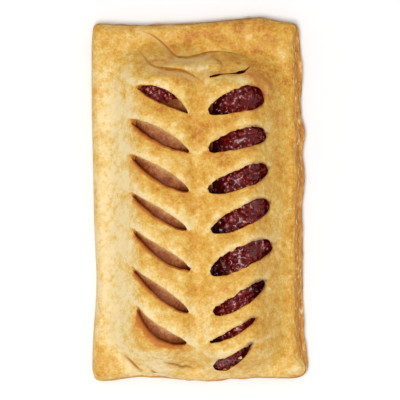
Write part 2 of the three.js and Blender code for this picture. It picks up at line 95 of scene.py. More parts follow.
# %% [markdown]
# ## Slits
#
# Each slit runs from an inner end by the spine to an outer end, and no two are alike: the place, length,
# bow and width of each come from one line of a table. Over the sausage the ends are pointed, and over the
# sauce the outer ends are blunt, because the sauce swelled through them.

# %% The slits' table
def table(columns, rows):
    """Rows of values as dictionaries with the same named columns."""
    return [dict(zip(columns, row)) for row in rows]


SLIT_COLUMNS = ("inner", "outer", "bow", "widths", "roll")
SAUSAGE_SLITS = table(SLIT_COLUMNS, [
    ((-4.8, 37.7), (-27.4, 49.2), 1.7, (5.7, 5.9), 0.8),
    ((-4.2, 21.1), (-29.9, 35.1), 0.2, (5.6, 5.8), 1.6),
    ((-4.3, 4.2), (-29.8, 20.1), -0.3, (6.8, 3.9), 1.8),
    ((-5.1, -12.2), (-29.7, 3.8), -0.5, (5.1, 2.6), 1.8),
    ((-3.5, -29.4), (-28.9, -11.8), -1.2, (6.0, 2.3), 1.8),
    ((-4.4, -47.7), (-29.1, -28.3), -0.6, (6.3, 1.9), 1.8),
    ((-5.2, -60.8), (-26.9, -44.9), -3.2, (6.4, 2.8), 3.6),
])
SAUCE_SLITS = table(SLIT_COLUMNS, [
    ((3.7, 38.2), (27.5, 45.5), 1.1, (6.1, 12.9), 0.3),
    ((3.7, 22.1), (28.6, 29.1), 0.9, (6.2, 10.2), 0.3),
    ((3.5, 4.6), (29.3, 14.5), -0.4, (6.6, 9.4), 0.3),
    ((4.8, -12.8), (29.8, -0.4), -0.5, (7.0, 9.5), 0.3),
    ((4.5, -31.0), (31.0, -18.2), 0.5, (8.3, 9.4), 0.3),
    ((5.8, -48.0), (28.0, -34.2), -1.3, (6.4, 6.0), 0.2),
    ((4.2, -60.4), (24.0, -49.8), -1.1, (2.7, 3.0), 0.3),
    ((5.9, -71.5), (22.5, -60.8), -1.7, (7.2, 1.5), 0.3),
])
OVER_SAUSAGE = {"roundness": 2, "bluntness": 0.75, "depth": 8, "sauce": 0.0}
OVER_SAUCE = {"roundness": 3, "bluntness": 0.5, "depth": 9, "sauce": 1.0}
SLITS = [dict(slit, **OVER_SAUSAGE) for slit in SAUSAGE_SLITS]
SLITS += [dict(slit, **OVER_SAUCE) for slit in SAUCE_SLITS]

NEAR_LIP = {"drop": 1.5, "reach": 3.6, "rounding": 0.5}
FAR_LIP = {"drop": 0.4, "reach": 1.8, "rounding": 0.8}
FULL_LIP_WIDTH = 4.0
INNER_LIP = {"share": 0.25, "until": 0.3}
INNER_ROLL = {"share": 0.35, "until": 0.6}
OUTER_ROLL = 8
print(len(SLITS), "slits")

# %% [markdown]
# ## Noise
#
# Dough is uneven at every scale. A fixed lattice of pseudo-random numbers, blended smoothly, gives bumps of
# any chosen width, and the same ones on every run.

# %% Helpers for smooth steps and noise
def smooth(start, end, value):
    """0 before start, 1 after end and an S-curve between them."""
    t = np.clip((value - start) / (end - start), 0, 1)
    return t * t * (3 - 2 * t)


def mix(a, b, share):
    return a + (b - a) * share


def fade(distance, width):
    """1 at no distance and less beyond, over about this width."""
    return np.exp(-((distance / width) ** 2))


def lattice(i, j, seed):
    n = np.sin(i * 127.1 + j * 311.7 + seed * 74.7) * 43758.5453
    return 2 * (n - np.floor(n)) - 1


def noise(x, y, spacing, seed):
    """Smooth noise from -1 to 1, with bumps about as wide as the spacing."""
    u, v = x / spacing, y / spacing
    i, j = np.floor(u), np.floor(v)
    a, b = smooth(0, 1, u - i), smooth(0, 1, v - j)
    near = mix(lattice(i, j, seed), lattice(i + 1, j, seed), a)
    far = mix(lattice(i, j + 1, seed), lattice(i + 1, j + 1, seed), a)
    return mix(near, far, b)


print("noise at the origin:", float(noise(np.zeros(1), np.zeros(1), 7, 7)[0]))

# %% [markdown]
# ## The lid
#
# Seen from above, the whole top of the roll is one height for each place, so one function of x and y can
# hold it: two bulges that meet at the spine, the lips that sink towards each slit, and the creases at both
# ends. Everything else asks this function for the height.

# %% Bulges over the fillings
def bulge(shape, x, y, shrink):
    """1 over a filling and 0 out on the rim."""
    across = np.abs(x - shape["x"]) / (shape["side"] - shrink)
    past = y - np.clip(y, shape["from"], shape["to"])
    end = np.where(past > 0, shape["far_end"], shape["near_end"]) - shrink
    power = np.where(past > 0, SQUARENESS["far"], SQUARENESS["near"])
    away = (across ** power + (np.abs(past) / end) ** power) ** (1 / power)
    return 1 - smooth(FLAT_SHARE, 1, away)


def plain_lid(x, y, shrink=0.0):
    """The lid's height with no slits, creases or relief."""
    rises = [bulge(shape, x, y, shrink) ** BLEND for shape in (SAUSAGE_BULGE, SAUCE_BULGE)]
    return RIM_HEIGHT + (CROWN_HEIGHT - RIM_HEIGHT) * (rises[0] + rises[1]) ** (1 / BLEND)


# %% Lips beside the slits
def slit_frame(slit):
    """A slit's start, its unit directions along and across, and its length."""
    start = np.array(slit["inner"], float)
    along = np.array(slit["outer"], float) - start
    length = float(np.hypot(*along))
    along /= length
    side = np.array((-along[1], along[0]))
    return start, along, side if side[1] > 0 else -side, length


def half_width(slit, t):
    fullness = np.maximum(1 - np.abs(2 * t - 1) ** slit["roundness"], 0) ** slit["bluntness"]
    return 0.5 * mix(slit["widths"][0], slit["widths"][1], t) * fullness


def beside_slit(slit, x, y):
    """How far a place lies across a slit's middle line, the half width there and the way to its edge."""
    start, along, side, length = slit_frame(slit)
    t = ((x - start[0]) * along[0] + (y - start[1]) * along[1]) / length
    inside = np.clip(t, 0, 1)
    bowed = slit["bow"] * 4 * inside * (1 - inside)
    off = (x - start[0]) * side[0] + (y - start[1]) * side[1] - bowed
    half = half_width(slit, inside)
    clear = np.hypot(np.maximum(np.abs(off) - half, 0), (t - inside) * length)
    return off, half, clear, inside


def rounded_edge(clear, radius):
    """How far a rounded edge of this radius has fallen at a distance from the cut."""
    t = np.clip(clear / radius, 0, 1)
    return radius * (1 - np.sqrt(1 - (1 - t) ** 2))


def lip_drop(x, y):
    drop = np.zeros_like(x)
    for slit in SLITS:
        off, half, clear, t = beside_slit(slit, x, y)
        far = smooth(-1, 1, off / np.maximum(half, 1))
        reach = mix(NEAR_LIP["reach"], FAR_LIP["reach"], far)
        strength = min(1, max(slit["widths"]) / FULL_LIP_WIDTH)
        strength = strength * mix(INNER_LIP["share"], 1, smooth(0, INNER_LIP["until"], t))
        full = strength * mix(NEAR_LIP["drop"], FAR_LIP["drop"], far)
        radius = mix(NEAR_LIP["rounding"], FAR_LIP["rounding"], far)
        fall = full * fade(clear, reach) + rounded_edge(clear, radius)
        drop = np.maximum(drop, fall)
    return drop


# %% [markdown]
# ## Creases
#
# Where the sheet was folded at the far end, one layer lies on another with a sharp step, and a tongue of
# dough shows between two of these steps. At the near end the sheet only wrinkled. Each crease is a curve,
# and the sheet on its left side lies higher than on its right.

# %% Steps along the creases
# The dark column sets how strong the painted shade along each crease is.
CREASES = table(("through", "valley", "step", "cut", "dark"), [
    ([(-27.4, 74), (-22.7, 72.6), (-19.2, 70.8), (-14.5, 66.9), (-10.4, 62.7), (-6.7, 62),
                 (-3.5, 62.3), (4.3, 64.2), (11.1, 64.3), (16.5, 63.2), (20, 62)],
     0.9, 1.5, 0.20, 0.9),
    ([(-26.5, 65.5), (-23.8, 62.3), (-20.3, 58.5), (-14.2, 56.9), (-8.5, 56.3), (-4.2, 54.8),
                 (0.4, 51.9), (2.4, 50)],
     0.5, 1.5, 0.26, 1.0),
    ([(7.9, 55.3), (9.6, 57.4), (9.1, 59.4), (7.5, 60.8), (4.7, 62.6)],
     0.3, 1.0, 0.14, 0.6),
    ([(-32.9, -65.5), (-29.2, -68.7), (-26, -71.9), (-23.4, -72.9)],
     0.8, 0.5, 0.10, 0.8),
    ([(-21.4, -72.1), (-19.1, -73.6), (-16.8, -75.1)],
     0.6, 0.4, 0.10, 0.8),
    ([(-15.8, -69), (-9.9, -70), (-7.6, -71), (-5.3, -70.7), (-1.5, -72.2)],
     0.6, 0.6, 0.14, 0.9),
])
ROLLS = table(("through", "half_widths", "height"), [
    ([(-15.5, 57.9), (-10, 58.5), (-5, 58.1), (-1.5, 58.6), (3, 59.4), (7, 59.3)],
     (0.8, 3.0), 2.6),
    ([(3.2, 57.5), (3, 54.5), (2.4, 51)], (2.2, 1.2), 1.4),
    ([(11, 60.6), (15, 60.1), (19.5, 58.9)], (3.8, 2.8), 2.4),
])
ROLL_EDGE = 3
CREASE_VALLEY = 2.4
CREASE_FADE = 5.0
CREASE_STEP_WIDTH = 0.5
CREASE_SAMPLES = 90


def run_along(line):
    """The way from the start of a row of points to each of them."""
    return np.concatenate(([0], np.cumsum(np.hypot(*np.diff(line, axis=0).T))))


def points_at(line, wanted):
    """Points on a row of points at the wanted ways from its start."""
    run = run_along(line)
    return np.column_stack([np.interp(wanted, run, line[:, axis]) for axis in (0, 1)])


def curve_points(points, shares):
    """Points at the given shares of the length of a smooth curve through a few points."""
    knots = np.array(points, float)
    knots = np.vstack((2 * knots[0] - knots[1], knots, 2 * knots[-1] - knots[-2]))
    t = np.linspace(0, 1, 24, endpoint=False)[:, None]
    spans = []
    for a, b, c, d in zip(knots, knots[1:], knots[2:], knots[3:]):
        bend = (2 * a - 5 * b + 4 * c - d) * t ** 2 + (3 * b - a - 3 * c + d) * t ** 3
        spans.append(0.5 * (2 * b + (c - a) * t + bend))
    line = np.vstack(spans + [knots[-2]])
    return points_at(line, np.asarray(shares) * run_along(line)[-1])


def near_line(line, x, y):
    """Distance to a row of points, which side of it a place is on, and the share of its length there."""
    distance = np.hypot(x[:, None] - line[None, :, 0], y[:, None] - line[None, :, 1])
    nearest = distance.argmin(axis=1)
    before, after = line[np.maximum(nearest - 1, 0)], line[np.minimum(nearest + 1, len(line) - 1)]
    run = after - before
    cross = run[:, 0] * (y - before[:, 1]) - run[:, 1] * (x - before[:, 0])
    off = cross / np.maximum(np.hypot(run[:, 0], run[:, 1]), 1e-9)
    share = nearest / (len(line) - 1)
    beyond = np.where((share > 0) & (share < 1), np.abs(off), distance.min(axis=1))
    return beyond, off, share


def around(line, x, y, reach):
    """Which places lie within a reach of the box round a row of points."""
    low, high = line.min(axis=0) - reach, line.max(axis=0) + reach
    return (x > low[0]) & (x < high[0]) & (y > low[1]) & (y < high[1])


def beside_curve(points, x, y, reach):
    """Which places lie near a curve, and their distance, side and share of its length."""
    line = curve_points(points, np.linspace(0, 1, CREASE_SAMPLES))
    close = around(line, x, y, reach)
    return close, *near_line(line, x[close], y[close])


def crease_shift(x, y):
    shift = np.zeros_like(x)
    for crease in CREASES:
        close, away, off, share = beside_curve(crease["through"], x, y, 3 * CREASE_FADE)
        ends = np.sqrt(np.sin(np.pi * share))
        left = smooth(-CREASE_STEP_WIDTH, CREASE_STEP_WIDTH, off)
        change = left * crease["step"] * ends * fade(away, CREASE_FADE)
        change -= crease["valley"] * fade(away, CREASE_VALLEY)
        shift[close] += change
    return shift


def roll_rise(x, y):
    """The tongue of dough between the far creases, its tail, and the lobe beside it."""
    rise = np.zeros_like(x)
    for roll in ROLLS:
        line = curve_points(roll["through"], np.linspace(0, 1, CREASE_SAMPLES))
        close = around(line, x, y, 3 * max(roll["half_widths"]))
        away = np.hypot(x[close, None] - line[None, :, 0], y[close, None] - line[None, :, 1])
        half = mix(*roll["half_widths"], away.argmin(axis=1) / (CREASE_SAMPLES - 1))
        fold = roll["height"] * np.exp(-((away.min(axis=1) / half) ** ROLL_EDGE))
        rise[close] = np.maximum(rise[close], fold)
    return rise


# %% [markdown]
# ## Relief of the baked top
#
# Puff pastry is never smooth: broad waves where the layers lifted unevenly, blisters a few millimetres
# across, and long wrinkles on the side where the sheet was bent over the sausage. The broad waves are the
# same as on the solid, and the rest is fine relief on top of it.

# %% The height of the pastry's top
WAVES = [{"height": 0.5, "spacing": 17}, {"height": 0.3, "spacing": 7}]
BLISTERS = [
    {"height": 0.26, "spacing": 4.3},
    {"height": 0.17, "spacing": 2.1},
    {"height": 0.09, "spacing": 1.1},
]
WRINKLE_BAND = {"from": (-45, -40), "to": (-31, -27)}
WRINKLE = {"height": 0.22, "across": 2.4, "along": 26, "seed": 61}


def fine_relief(x, y):
    relief = sum(wave["height"] * noise(x, y, wave["spacing"], wave["spacing"] + 40) for wave in BLISTERS)
    band = smooth(*WRINKLE_BAND["from"], x) * (1 - smooth(*WRINKLE_BAND["to"], x))
    folds = noise(x / WRINKLE["across"], y / WRINKLE["along"], 1, WRINKLE["seed"])
    return relief + WRINKLE["height"] * band * (1 - 2 * np.abs(folds))


def pastry_top(x, y):
    waves = sum(wave["height"] * noise(x, y, wave["spacing"], wave["spacing"]) for wave in WAVES)
    folds = crease_shift(x, y) + roll_rise(x, y)
    return plain_lid(x, y) + waves - lip_drop(x, y) + folds + fine_relief(x, y)


print("lid height over the sausage, mm:", float(pastry_top(np.array([-15.0]), np.array([-4.0]))[0]))

# %% [markdown]
# ## From rows of points to a mesh
#
# All the large forms here are rows of points with faces between them. numpy works out the points of a whole
# row at once, which is much quicker than a loop over vertices, and one helper turns the result into a
# Blender mesh in metres.

# %% Mesh helpers
def mesh_object(name, points, faces):
    """An object whose mesh has these points, given in millimetres in the photograph's frame."""
    shifted = (np.asarray(points, float) - (BOX_MIDDLE[0], BOX_MIDDLE[1], 0)) * MM
    mesh = bpy.data.meshes.new(name)
    mesh.from_pydata(shifted.tolist(), [], [list(map(int, face)) for face in faces])
    mesh.validate()
    made = bpy.data.objects.new(name, mesh)
    bpy.context.scene.collection.objects.link(made)
    return made


def band_faces(rows, length):
    """Quads between neighbouring closed rows of the same length."""
    k = np.arange(length)
    after = (k + 1) % length
    starts = [row * length for row in range(rows)]
    faces = [np.column_stack((low + k, low + after, high + after, high + k))
             for low, high in zip(starts, starts[1:])]
    return np.vstack(faces)


def loft_object(name, rows):
    """A closed body through a list of closed rows of points."""
    rows = np.asarray(rows)
    count, length = rows.shape[:2]
    faces = band_faces(count, length).tolist()
    faces.append(list(range(length))[::-1])
    faces.append(list(range((count - 1) * length, count * length)))
    return mesh_object(name, rows.reshape(-1, 3), faces)


def face_count(made):
    made.data.calc_loop_triangles()
    return len(made.data.loop_triangles)


# %% [markdown]
# ## The sides
#
# Three sides of the roll were cut with a knife, so they show the leaves of the puff pastry as thin ledges
# with dark gaps between them. The fourth side is the fold and is smooth. On the sauce's side the lower
# sheet stands out past the upper one, so its leaves show from above as a band of terraces.

# %% The outline and its side rows
ACROSS_STEPS = 176
ALONG_STEPS = 292
SIDE_ROWS = 27
CORNER_SHARE = 0.06
CORNER_SOFTENING = 2.0
PROFILE_HEIGHTS = (0, 0.05, 0.15, 0.38, 0.48, 0.6, 0.76, 0.88, 0.96)
PROFILE_INSETS = (1.8, 0.7, 0.15, 0, 0.1, 0.25, 0.7, 1.4, 2.3)
PROFILE_SEAMS = (0, 0, 0, 0, 0.9, 0.2, 0.1, 0.1, 0.1)
PROFILE_LAPS = (0, 0, 0, 0, 0.4, 0.65, 0.8, 0.95, 1)
LAP_WIDTH = 2.6
LEAVES = {"count": 7, "gap": 0.6, "gap_sharpness": 5, "stand_out": 0.6, "length": 5.0, "seed": 73}
SWAY = {"height": 0.8, "length": 14, "seed": 71}


def soft_loop(loop, spread):
    """A closed row of points with its corners rounded by a running average."""
    reach = int(4 * spread)
    offsets = np.arange(-reach, reach + 1)
    weights = np.exp(-0.5 * (offsets / spread) ** 2)
    shifted = [weight * np.roll(loop, offset, axis=0) for offset, weight in zip(offsets, weights)]
    return sum(shifted) / weights.sum()


def outline():
    """The loop round the pastry, with how cut and how lapped the side is at each point."""
    u, v = np.linspace(0, 1, ACROSS_STEPS + 1), np.linspace(0, 1, ALONG_STEPS + 1)
    fade = smooth(0, CORNER_SHARE, np.minimum(v, 1 - v))
    ones, zeros = np.ones_like(u), np.zeros_like(u)
    parts = [
        (curve_points(NEAR_EDGE, u), ones, zeros),
        (curve_points(LAPPED_EDGE, v), np.ones_like(v), fade),
        (curve_points(FAR_EDGE, u)[::-1], ones, zeros),
        (curve_points(FOLDED_EDGE, v)[::-1], 1 - fade, np.zeros_like(v)),
    ]
    loop, cut, lap = [np.concatenate([part[n][:-1] for part in parts]) for n in range(3)]
    loop = soft_loop(loop, CORNER_SOFTENING)
    run = np.roll(loop, -1, axis=0) - np.roll(loop, 1, axis=0)
    inward = np.column_stack((-run[:, 1], run[:, 0]))
    inward /= np.hypot(*inward.T)[:, None]
    return loop, cut, lap, inward


def side_rows():
    loop, cut, lap, inward = outline()
    steps = np.hypot(*(np.roll(loop, -1, axis=0) - loop).T)
    run = np.cumsum(steps)
    rows = []
    for share in np.linspace(0, PROFILE_HEIGHTS[-1], SIDE_ROWS):
        base = np.interp(share, PROFILE_HEIGHTS, PROFILE_INSETS)
        seam = np.interp(share, PROFILE_HEIGHTS, PROFILE_SEAMS)
        sway = SWAY["height"] * noise(run, run * 0, SWAY["length"], SWAY["seed"])
        level = share * LEAVES["count"] + sway
        leaf = np.floor(level)
        gap = (2 * np.abs(level - leaf - 0.5)) ** LEAVES["gap_sharpness"]
        uneven = 0.5 + 0.5 * noise(run, leaf * LEAVES["length"], LEAVES["length"], LEAVES["seed"])
        terrace = np.interp((leaf + 0.5) / LEAVES["count"], PROFILE_HEIGHTS, PROFILE_LAPS)
        inset = base + lap * LAP_WIDTH * terrace
        inset += cut * (seam + LEAVES["gap"] * gap + LEAVES["stand_out"] * uneven)
        at = loop + inward * inset[:, None]
        rows.append(np.column_stack((at, share * pastry_top(at[:, 0], at[:, 1]))))
    return rows


rows = side_rows()
print("side rows:", len(rows), "of", len(rows[0]), "points")

# %% [markdown]
# ## The top
#
# The last side row is the border of the top. Its points are spaced evenly along each side, and a Coons
# patch fills it: each inner point is blended from the four borders, so the grid follows the uneven outline.
# Each point then takes its height from the lid.

# %% The pastry as one closed block
RIM_ROUNDING_RINGS = 5


def evenly(line):
    """The same row of points, but equally far apart along it."""
    return points_at(line, np.linspace(0, run_along(line)[-1], len(line)))


def four_borders(ring):
    """The near, right, far and left borders out of one closed ring, each from its lower end."""
    across, along = ACROSS_STEPS, ALONG_STEPS
    closed = np.concatenate((ring, ring[:1]))
    near, right = closed[:across + 1], closed[across:across + along + 1]
    far = closed[across + along:2 * across + along + 1][::-1]
    return near, right, far, closed[2 * across + along:][::-1]


def top_grid(rim):
    near, right, far, left = [evenly(border) for border in four_borders(rim[:, :2])]
    u = np.linspace(0, 1, ACROSS_STEPS + 1)[:, None, None]
    v = np.linspace(0, 1, ALONG_STEPS + 1)[None, :, None]
    grid = near[:, None] * (1 - v) + far[:, None] * v + left[None] * (1 - u) + right[None] * u
    grid = grid - near[0] * (1 - u) * (1 - v) - near[-1] * u * (1 - v)
    return grid - far[0] * (1 - u) * v - far[-1] * u * v


def pastry_block():
    rim_start = (len(rows) - 1) * len(rows[0])
    points = np.vstack(rows)
    grid = top_grid(rows[-1])
    index = np.full(grid.shape[:2], -1)
    ring = rim_start + np.arange(len(rows[0]))
    index[:, 0], index[-1, :], index[:, -1], index[0, :] = four_borders(ring)
    inner = grid[1:-1, 1:-1].reshape(-1, 2)
    i, j = np.arange(1, ACROSS_STEPS), np.arange(1, ALONG_STEPS)
    index[1:-1, 1:-1] = len(points) + np.arange(len(inner)).reshape(len(i), len(j))
    rings = np.minimum.outer(np.minimum(i, ACROSS_STEPS - i), np.minimum(j, ALONG_STEPS - j)).ravel()
    rounding = 1 - (1 - PROFILE_HEIGHTS[-1]) * (1 - np.clip(rings / RIM_ROUNDING_RINGS, 0, 1)) ** 2
    heights = pastry_top(inner[:, 0], inner[:, 1]) * rounding
    points = np.vstack((points, np.column_stack((inner, heights))))
    corners = (index[:-1, :-1], index[1:, :-1], index[1:, 1:], index[:-1, 1:])
    top = np.stack(corners, axis=-1).reshape(-1, 4)
    sides = band_faces(len(rows), len(rows[0]))
    floor = list(range(len(rows[0])))[::-1]
    return mesh_object("pastry_crust", points, top.tolist() + sides.tolist() + [floor])


crust = pastry_block()
print("pastry block:", face_count(crust), "triangles")

# %% [markdown]
# ## Room for the fillings
#
# The solids show how the inside is laid out: a rounded room for the sausage and a ridge-shaped one for the
# sauce, which wraps round the sausage's far end. Only their tops show through the slits, so they need few
# steps.

# %% Shapes of the two rooms
SAUSAGE = {
    "near": (-15.6, -66.0), "far": (-13.6, 48.6), "bow": -0.8,
    "width": 27.0, "height": 21.5, "cap": 11.0,
}
SAUCE_PARTS = [
    {"near": -74, "far": 56, "left": -8, "right": 32},
    {"near": 38, "far": 56, "left": -28, "right": 12},
]
SAUCE_END = {"length": 5, "width": 0.5, "height": 0.4}
SAUCE_SAG = {"x": 1, "depth": 5, "from": 2, "to": 13}
SAUCE_SKIRT = 1.5
SAUCE_FULL = {"until": -70, "from": -60, "shrink": 1.0}


def sausage_rows(grow, steps, sides):
    start, end = SAUSAGE["near"][1] - grow, SAUSAGE["far"][1] + grow
    turn = 2 * np.pi * np.arange(sides) / sides
    made = []
    for t in 0.5 - 0.5 * np.cos(np.pi * np.linspace(0.02, 0.98, steps)):
        y = mix(start, end, t)
        from_end = min(y - start, end - y, SAUSAGE["cap"])
        full = math.sqrt(1 - (1 - from_end / SAUSAGE["cap"]) ** 2)
        x = mix(SAUSAGE["near"][0], SAUSAGE["far"][0], t) + SAUSAGE["bow"] * math.sin(math.pi * t)
        middle = FLOOR + GAP + SAUSAGE["height"] / 2
        across = x - (SAUSAGE["width"] / 2 + grow) * full * np.cos(turn)
        up = middle + (SAUSAGE["height"] / 2 + grow) * full * np.sin(turn)
        made.append(np.column_stack((across, np.full(sides, y), up)))
    return made


def sauce_room_top(x, y):
    usual = smooth(SAUCE_FULL["until"], SAUCE_FULL["from"], y)
    under = plain_lid(x, y, mix(SAUCE_FULL["shrink"], LID, usual)) - LID - GAP
    aside = np.abs(x - SAUCE_SAG["x"])
    sag = SAUCE_SAG["depth"] * (1 - smooth(SAUCE_SAG["from"], SAUCE_SAG["to"], aside))
    return np.maximum(under - sag * usual, FLOOR + SAUCE_SKIRT)


def sauce_rows(part, draw_in, steps, sides):
    """Rows of one part of the sauce's room, drawn in by a distance on every side."""
    middle, width = (part["left"] + part["right"]) / 2, part["right"] - part["left"] - 2 * draw_in
    made = []
    for t in np.linspace(0.004, 0.996, steps):
        y = mix(part["near"] + draw_in, part["far"] - draw_in, t)
        to_end = min(y - part["near"], part["far"] - y, SAUCE_END["length"]) / SAUCE_END["length"]
        full = math.sqrt(1 - (1 - to_end) ** 2)
        half = width / 2 * mix(SAUCE_END["width"], 1, full)
        x = middle + half * np.cos(np.pi * (np.arange(sides) + 0.5) / sides)
        top = (sauce_room_top(x, np.full(sides, y)) - FLOOR) * mix(SAUCE_END["height"], 1, full)
        ridge = np.column_stack((x, np.full(sides, y), FLOOR + top - draw_in))
        base = np.array([(middle - half, y, FLOOR + draw_in), (middle + half, y, FLOOR + draw_in)])
        made.append(np.vstack((base, ridge))[::-1])
    return made


sausage_room = loft_object("sausage_room", sausage_rows(GAP, 40, 40))
sauce_rooms = [loft_object("sauce_room", sauce_rows(part, 0.0, 40, 24)) for part in SAUCE_PARTS]
print("rooms:", [face_count(room) for room in [sausage_room] + sauce_rooms])

# %% [markdown]
# ## Cutting the slits
#
# A knife's cut through raw dough opens in the oven. Its near edge rolls down into it like a soft lip, while
# the far edge stays upright and sharp. Over the sausage a slit runs out into a shallow groove at its outer
# end, and over the sauce its edges are torn and uneven. Each slit is a small closed body, and one Boolean
# modifier takes them all and the rooms out of the block. The MANIFOLD solver is the quickest on closed
# meshes like these.

# %% The slit cutters
CLEAR = 2.0
CUT_STEPS = 44
CUT_LEVELS = 14
CUT_ENDS = (0.07, 0.93)
FULL_WANDER_HALF = 0.6
LEAST_OPENING = 0.05
RUN_OUT = {"from": 0.86, "to": 1.0, "depth": 1.4}
WALL_RIPPLE = {"depth": 0.16, "leaf": 0.75}
EDGE_WANDER = {"depth": 0.28, "length": 2.2}
TORN_EDGE = {"depth": 0.22, "length": 0.8}


def slit_cutter(slit, number):
    start, along, side, length = slit_frame(slit)
    levels = np.linspace(0, 1, CUT_LEVELS)
    made = []
    for t in 0.5 - 0.5 * np.cos(np.pi * np.linspace(*CUT_ENDS, CUT_STEPS)):
        half = float(half_width(slit, t))
        roll = slit["roll"] * mix(INNER_ROLL["share"], 1, smooth(0, INNER_ROLL["until"], t))
        roll = roll * (1 - t ** OUTER_ROLL)
        middle = start + along * length * t + side * slit["bow"] * 4 * t * (1 - t)
        edges = middle + side * np.array((-half - roll, half))[:, None]
        near_top, far_top = pastry_top(edges[:, 0], edges[:, 1])
        run_out = smooth(RUN_OUT["from"], RUN_OUT["to"], t) * (1 - slit["sauce"])
        bottom = plain_lid(*middle[:, None])[0] - mix(slit["depth"], RUN_OUT["depth"], run_out)
        near_down, far_down = mix(near_top, bottom, levels), mix(far_top, bottom, levels)
        place = np.array([t * length])
        wander = EDGE_WANDER["depth"] * noise(place, np.array([number * 5.0]), EDGE_WANDER["length"], 5)[0]
        torn = TORN_EDGE["depth"] * noise(place, np.array([number * 7.0]), TORN_EDGE["length"], 6)[0]
        limit = min(1, half / FULL_WANDER_HALF)
        ripple = WALL_RIPPLE["depth"] * np.sin(2 * np.pi * (near_down + 0.6 * wander) / WALL_RIPPLE["leaf"])
        below = np.clip((near_top - near_down) / LID, 0, 1)
        near = -half - roll * (1 - np.sqrt(1 - (1 - below) ** 2)) - limit * (wander + ripple * below)
        far = half + limit * (wander * mix(0.5, 1.5, slit["sauce"]) + torn * mix(0.4, 1.2, slit["sauce"]))
        far = np.maximum(np.full(CUT_LEVELS, far), near + LEAST_OPENING)
        flat = np.vstack(((far[0], far_top + CLEAR), (near[0], near_top + CLEAR),
                          np.column_stack((near, near_down)), np.column_stack((far, far_down))[::-1]))
        row = np.column_stack((middle + side * flat[:, :1], flat[:, 1]))
        made.append(row if slit["outer"][0] > slit["inner"][0] else row[::-1])
    return loft_object("slit_cutter", made)


cutters = [slit_cutter(slit, number) for number, slit in enumerate(SLITS)]
print("cutters:", len(cutters), "with", sum(face_count(cutter) for cutter in cutters), "triangles")

# %% [markdown]
# ## Cutting the creases
#
# Where one layer of the sheet lies on another, a thin dark gap runs under the upper one. A height function
# can't lean under itself, so a thin slanted blade follows each crease and cuts that gap. The crack under the
# lobe at the far end is cut the same way, but upright and down to the sauce, with its own width at each
# point.

# %% Blades along the creases and the crack
BLADE = {"steps": 60, "depth": 1.0, "under": 0.8, "above": 2.5}
CRACK = table(("at", "width", "depth"), [
    ((4.3, 53.3), 0.7, 3),
    ((7.3, 54.0), 0.9, 6),
    ((9.6, 54.5), 0.45, 4),
    ((13.4, 54.7), 0.35, 3),
    ((15.6, 54.9), 0.6, 6),
    ((17.0, 55.2), 1.7, 11),
    ((19.2, 55.8), 1.0, 6),
    ((21.6, 57.8), 0.3, 0.8),
])


def blade_object(line, openings, depths, lean):
    """A blade along a row of points, with half its opening and its depth at each, leaning to the left."""
    run = np.gradient(line, axis=0)
    left = np.column_stack((-run[:, 1], run[:, 0])) / np.hypot(*run.T)[:, None]
    tops = pastry_top(line[:, 0], line[:, 1])
    made = []
    for point, out, top, opening, depth in zip(line, left, tops, openings, depths):
        under, high, low = lean * depth, top + BLADE["above"], top - depth
        flat = [(-opening, high), (-opening, top), (under - opening, low),
                (under + opening, low), (opening, top), (opening, high)]
        made.append([(point[0] + out[0] * off, point[1] + out[1] * off, z) for off, z in flat])
    return loft_object("crease_blade", made)


def crease_blade(crease):
    shares = np.linspace(0, 1, BLADE["steps"])
    size = 0.1 + 0.9 * (4 * shares * (1 - shares)) ** 0.5
    uneven = 0.75 + 0.5 * noise(np.arange(BLADE["steps"]), np.zeros(BLADE["steps"]), 5, 8)
    line = curve_points(crease["through"], shares)
    lean = BLADE["under"] / BLADE["depth"]
    return blade_object(line, crease["cut"] * size * uneven, BLADE["depth"] * size, lean)


def crack_blade():
    places = np.array([point["at"] for point in CRACK])
    run = run_along(places)
    shares = np.linspace(0, 1, BLADE["steps"])
    widths = np.interp(shares, run / run[-1], [point["width"] for point in CRACK])
    depths = np.interp(shares, run / run[-1], [point["depth"] for point in CRACK])
    torn = 1 + 0.25 * noise(np.arange(BLADE["steps"]), np.zeros(BLADE["steps"]), 2.5, 9)
    return blade_object(curve_points(places, shares), 0.5 * widths * torn, depths, 0.0)


blades = [crease_blade(crease) for crease in CREASES] + [crack_blade()]
print("blades:", len(blades), "with", sum(face_count(blade) for blade in blades), "triangles")

# %% One Boolean for the rooms and the slits
def combine(body, tools, operation):
    """Take all the tools out of a body, or join them to it, and delete them."""
    tray = bpy.data.collections.new("boolean_tools")
    for tool in tools:
        tray.objects.link(tool)
        bpy.context.scene.collection.objects.unlink(tool)
    modifier = body.modifiers.new("combine", "BOOLEAN")
    modifier.operation = operation
    modifier.operand_type = "COLLECTION"
    modifier.collection = tray
    modifier.solver = "MANIFOLD"
    flatten(body)
    for tool in tools:
        bpy.data.objects.remove(tool)
    bpy.data.collections.remove(tray)


def flatten(body):
    """Replace an object's mesh by what its modifiers make of it, as one plain mesh."""
    bpy.context.view_layer.update()
    evaluated = body.evaluated_get(bpy.context.evaluated_depsgraph_get())
    finished = bpy.data.meshes.new_from_object(evaluated)
    body.modifiers.clear()
    old = body.data
    body.data = finished
    bpy.data.meshes.remove(old)


def drop_flat_pairs(made):
    """Leave out faces that lie on the same points as another one, since such a pair encloses nothing."""
    points = np.array([point.co for point in made.data.vertices])
    faces = [tuple(face.vertices) for face in made.data.polygons]
    uses = collections.Counter(frozenset(face) for face in faces)
    kept = [face for face in faces if uses[frozenset(face)] == 1]
    numbers = np.unique(np.concatenate(kept))
    renumbered = np.full(len(points), -1)
    renumbered[numbers] = np.arange(len(numbers))
    made.data.clear_geometry()
    made.data.from_pydata(points[numbers], [], [renumbered[list(face)].tolist() for face in kept])
    return len(faces) - len(kept)


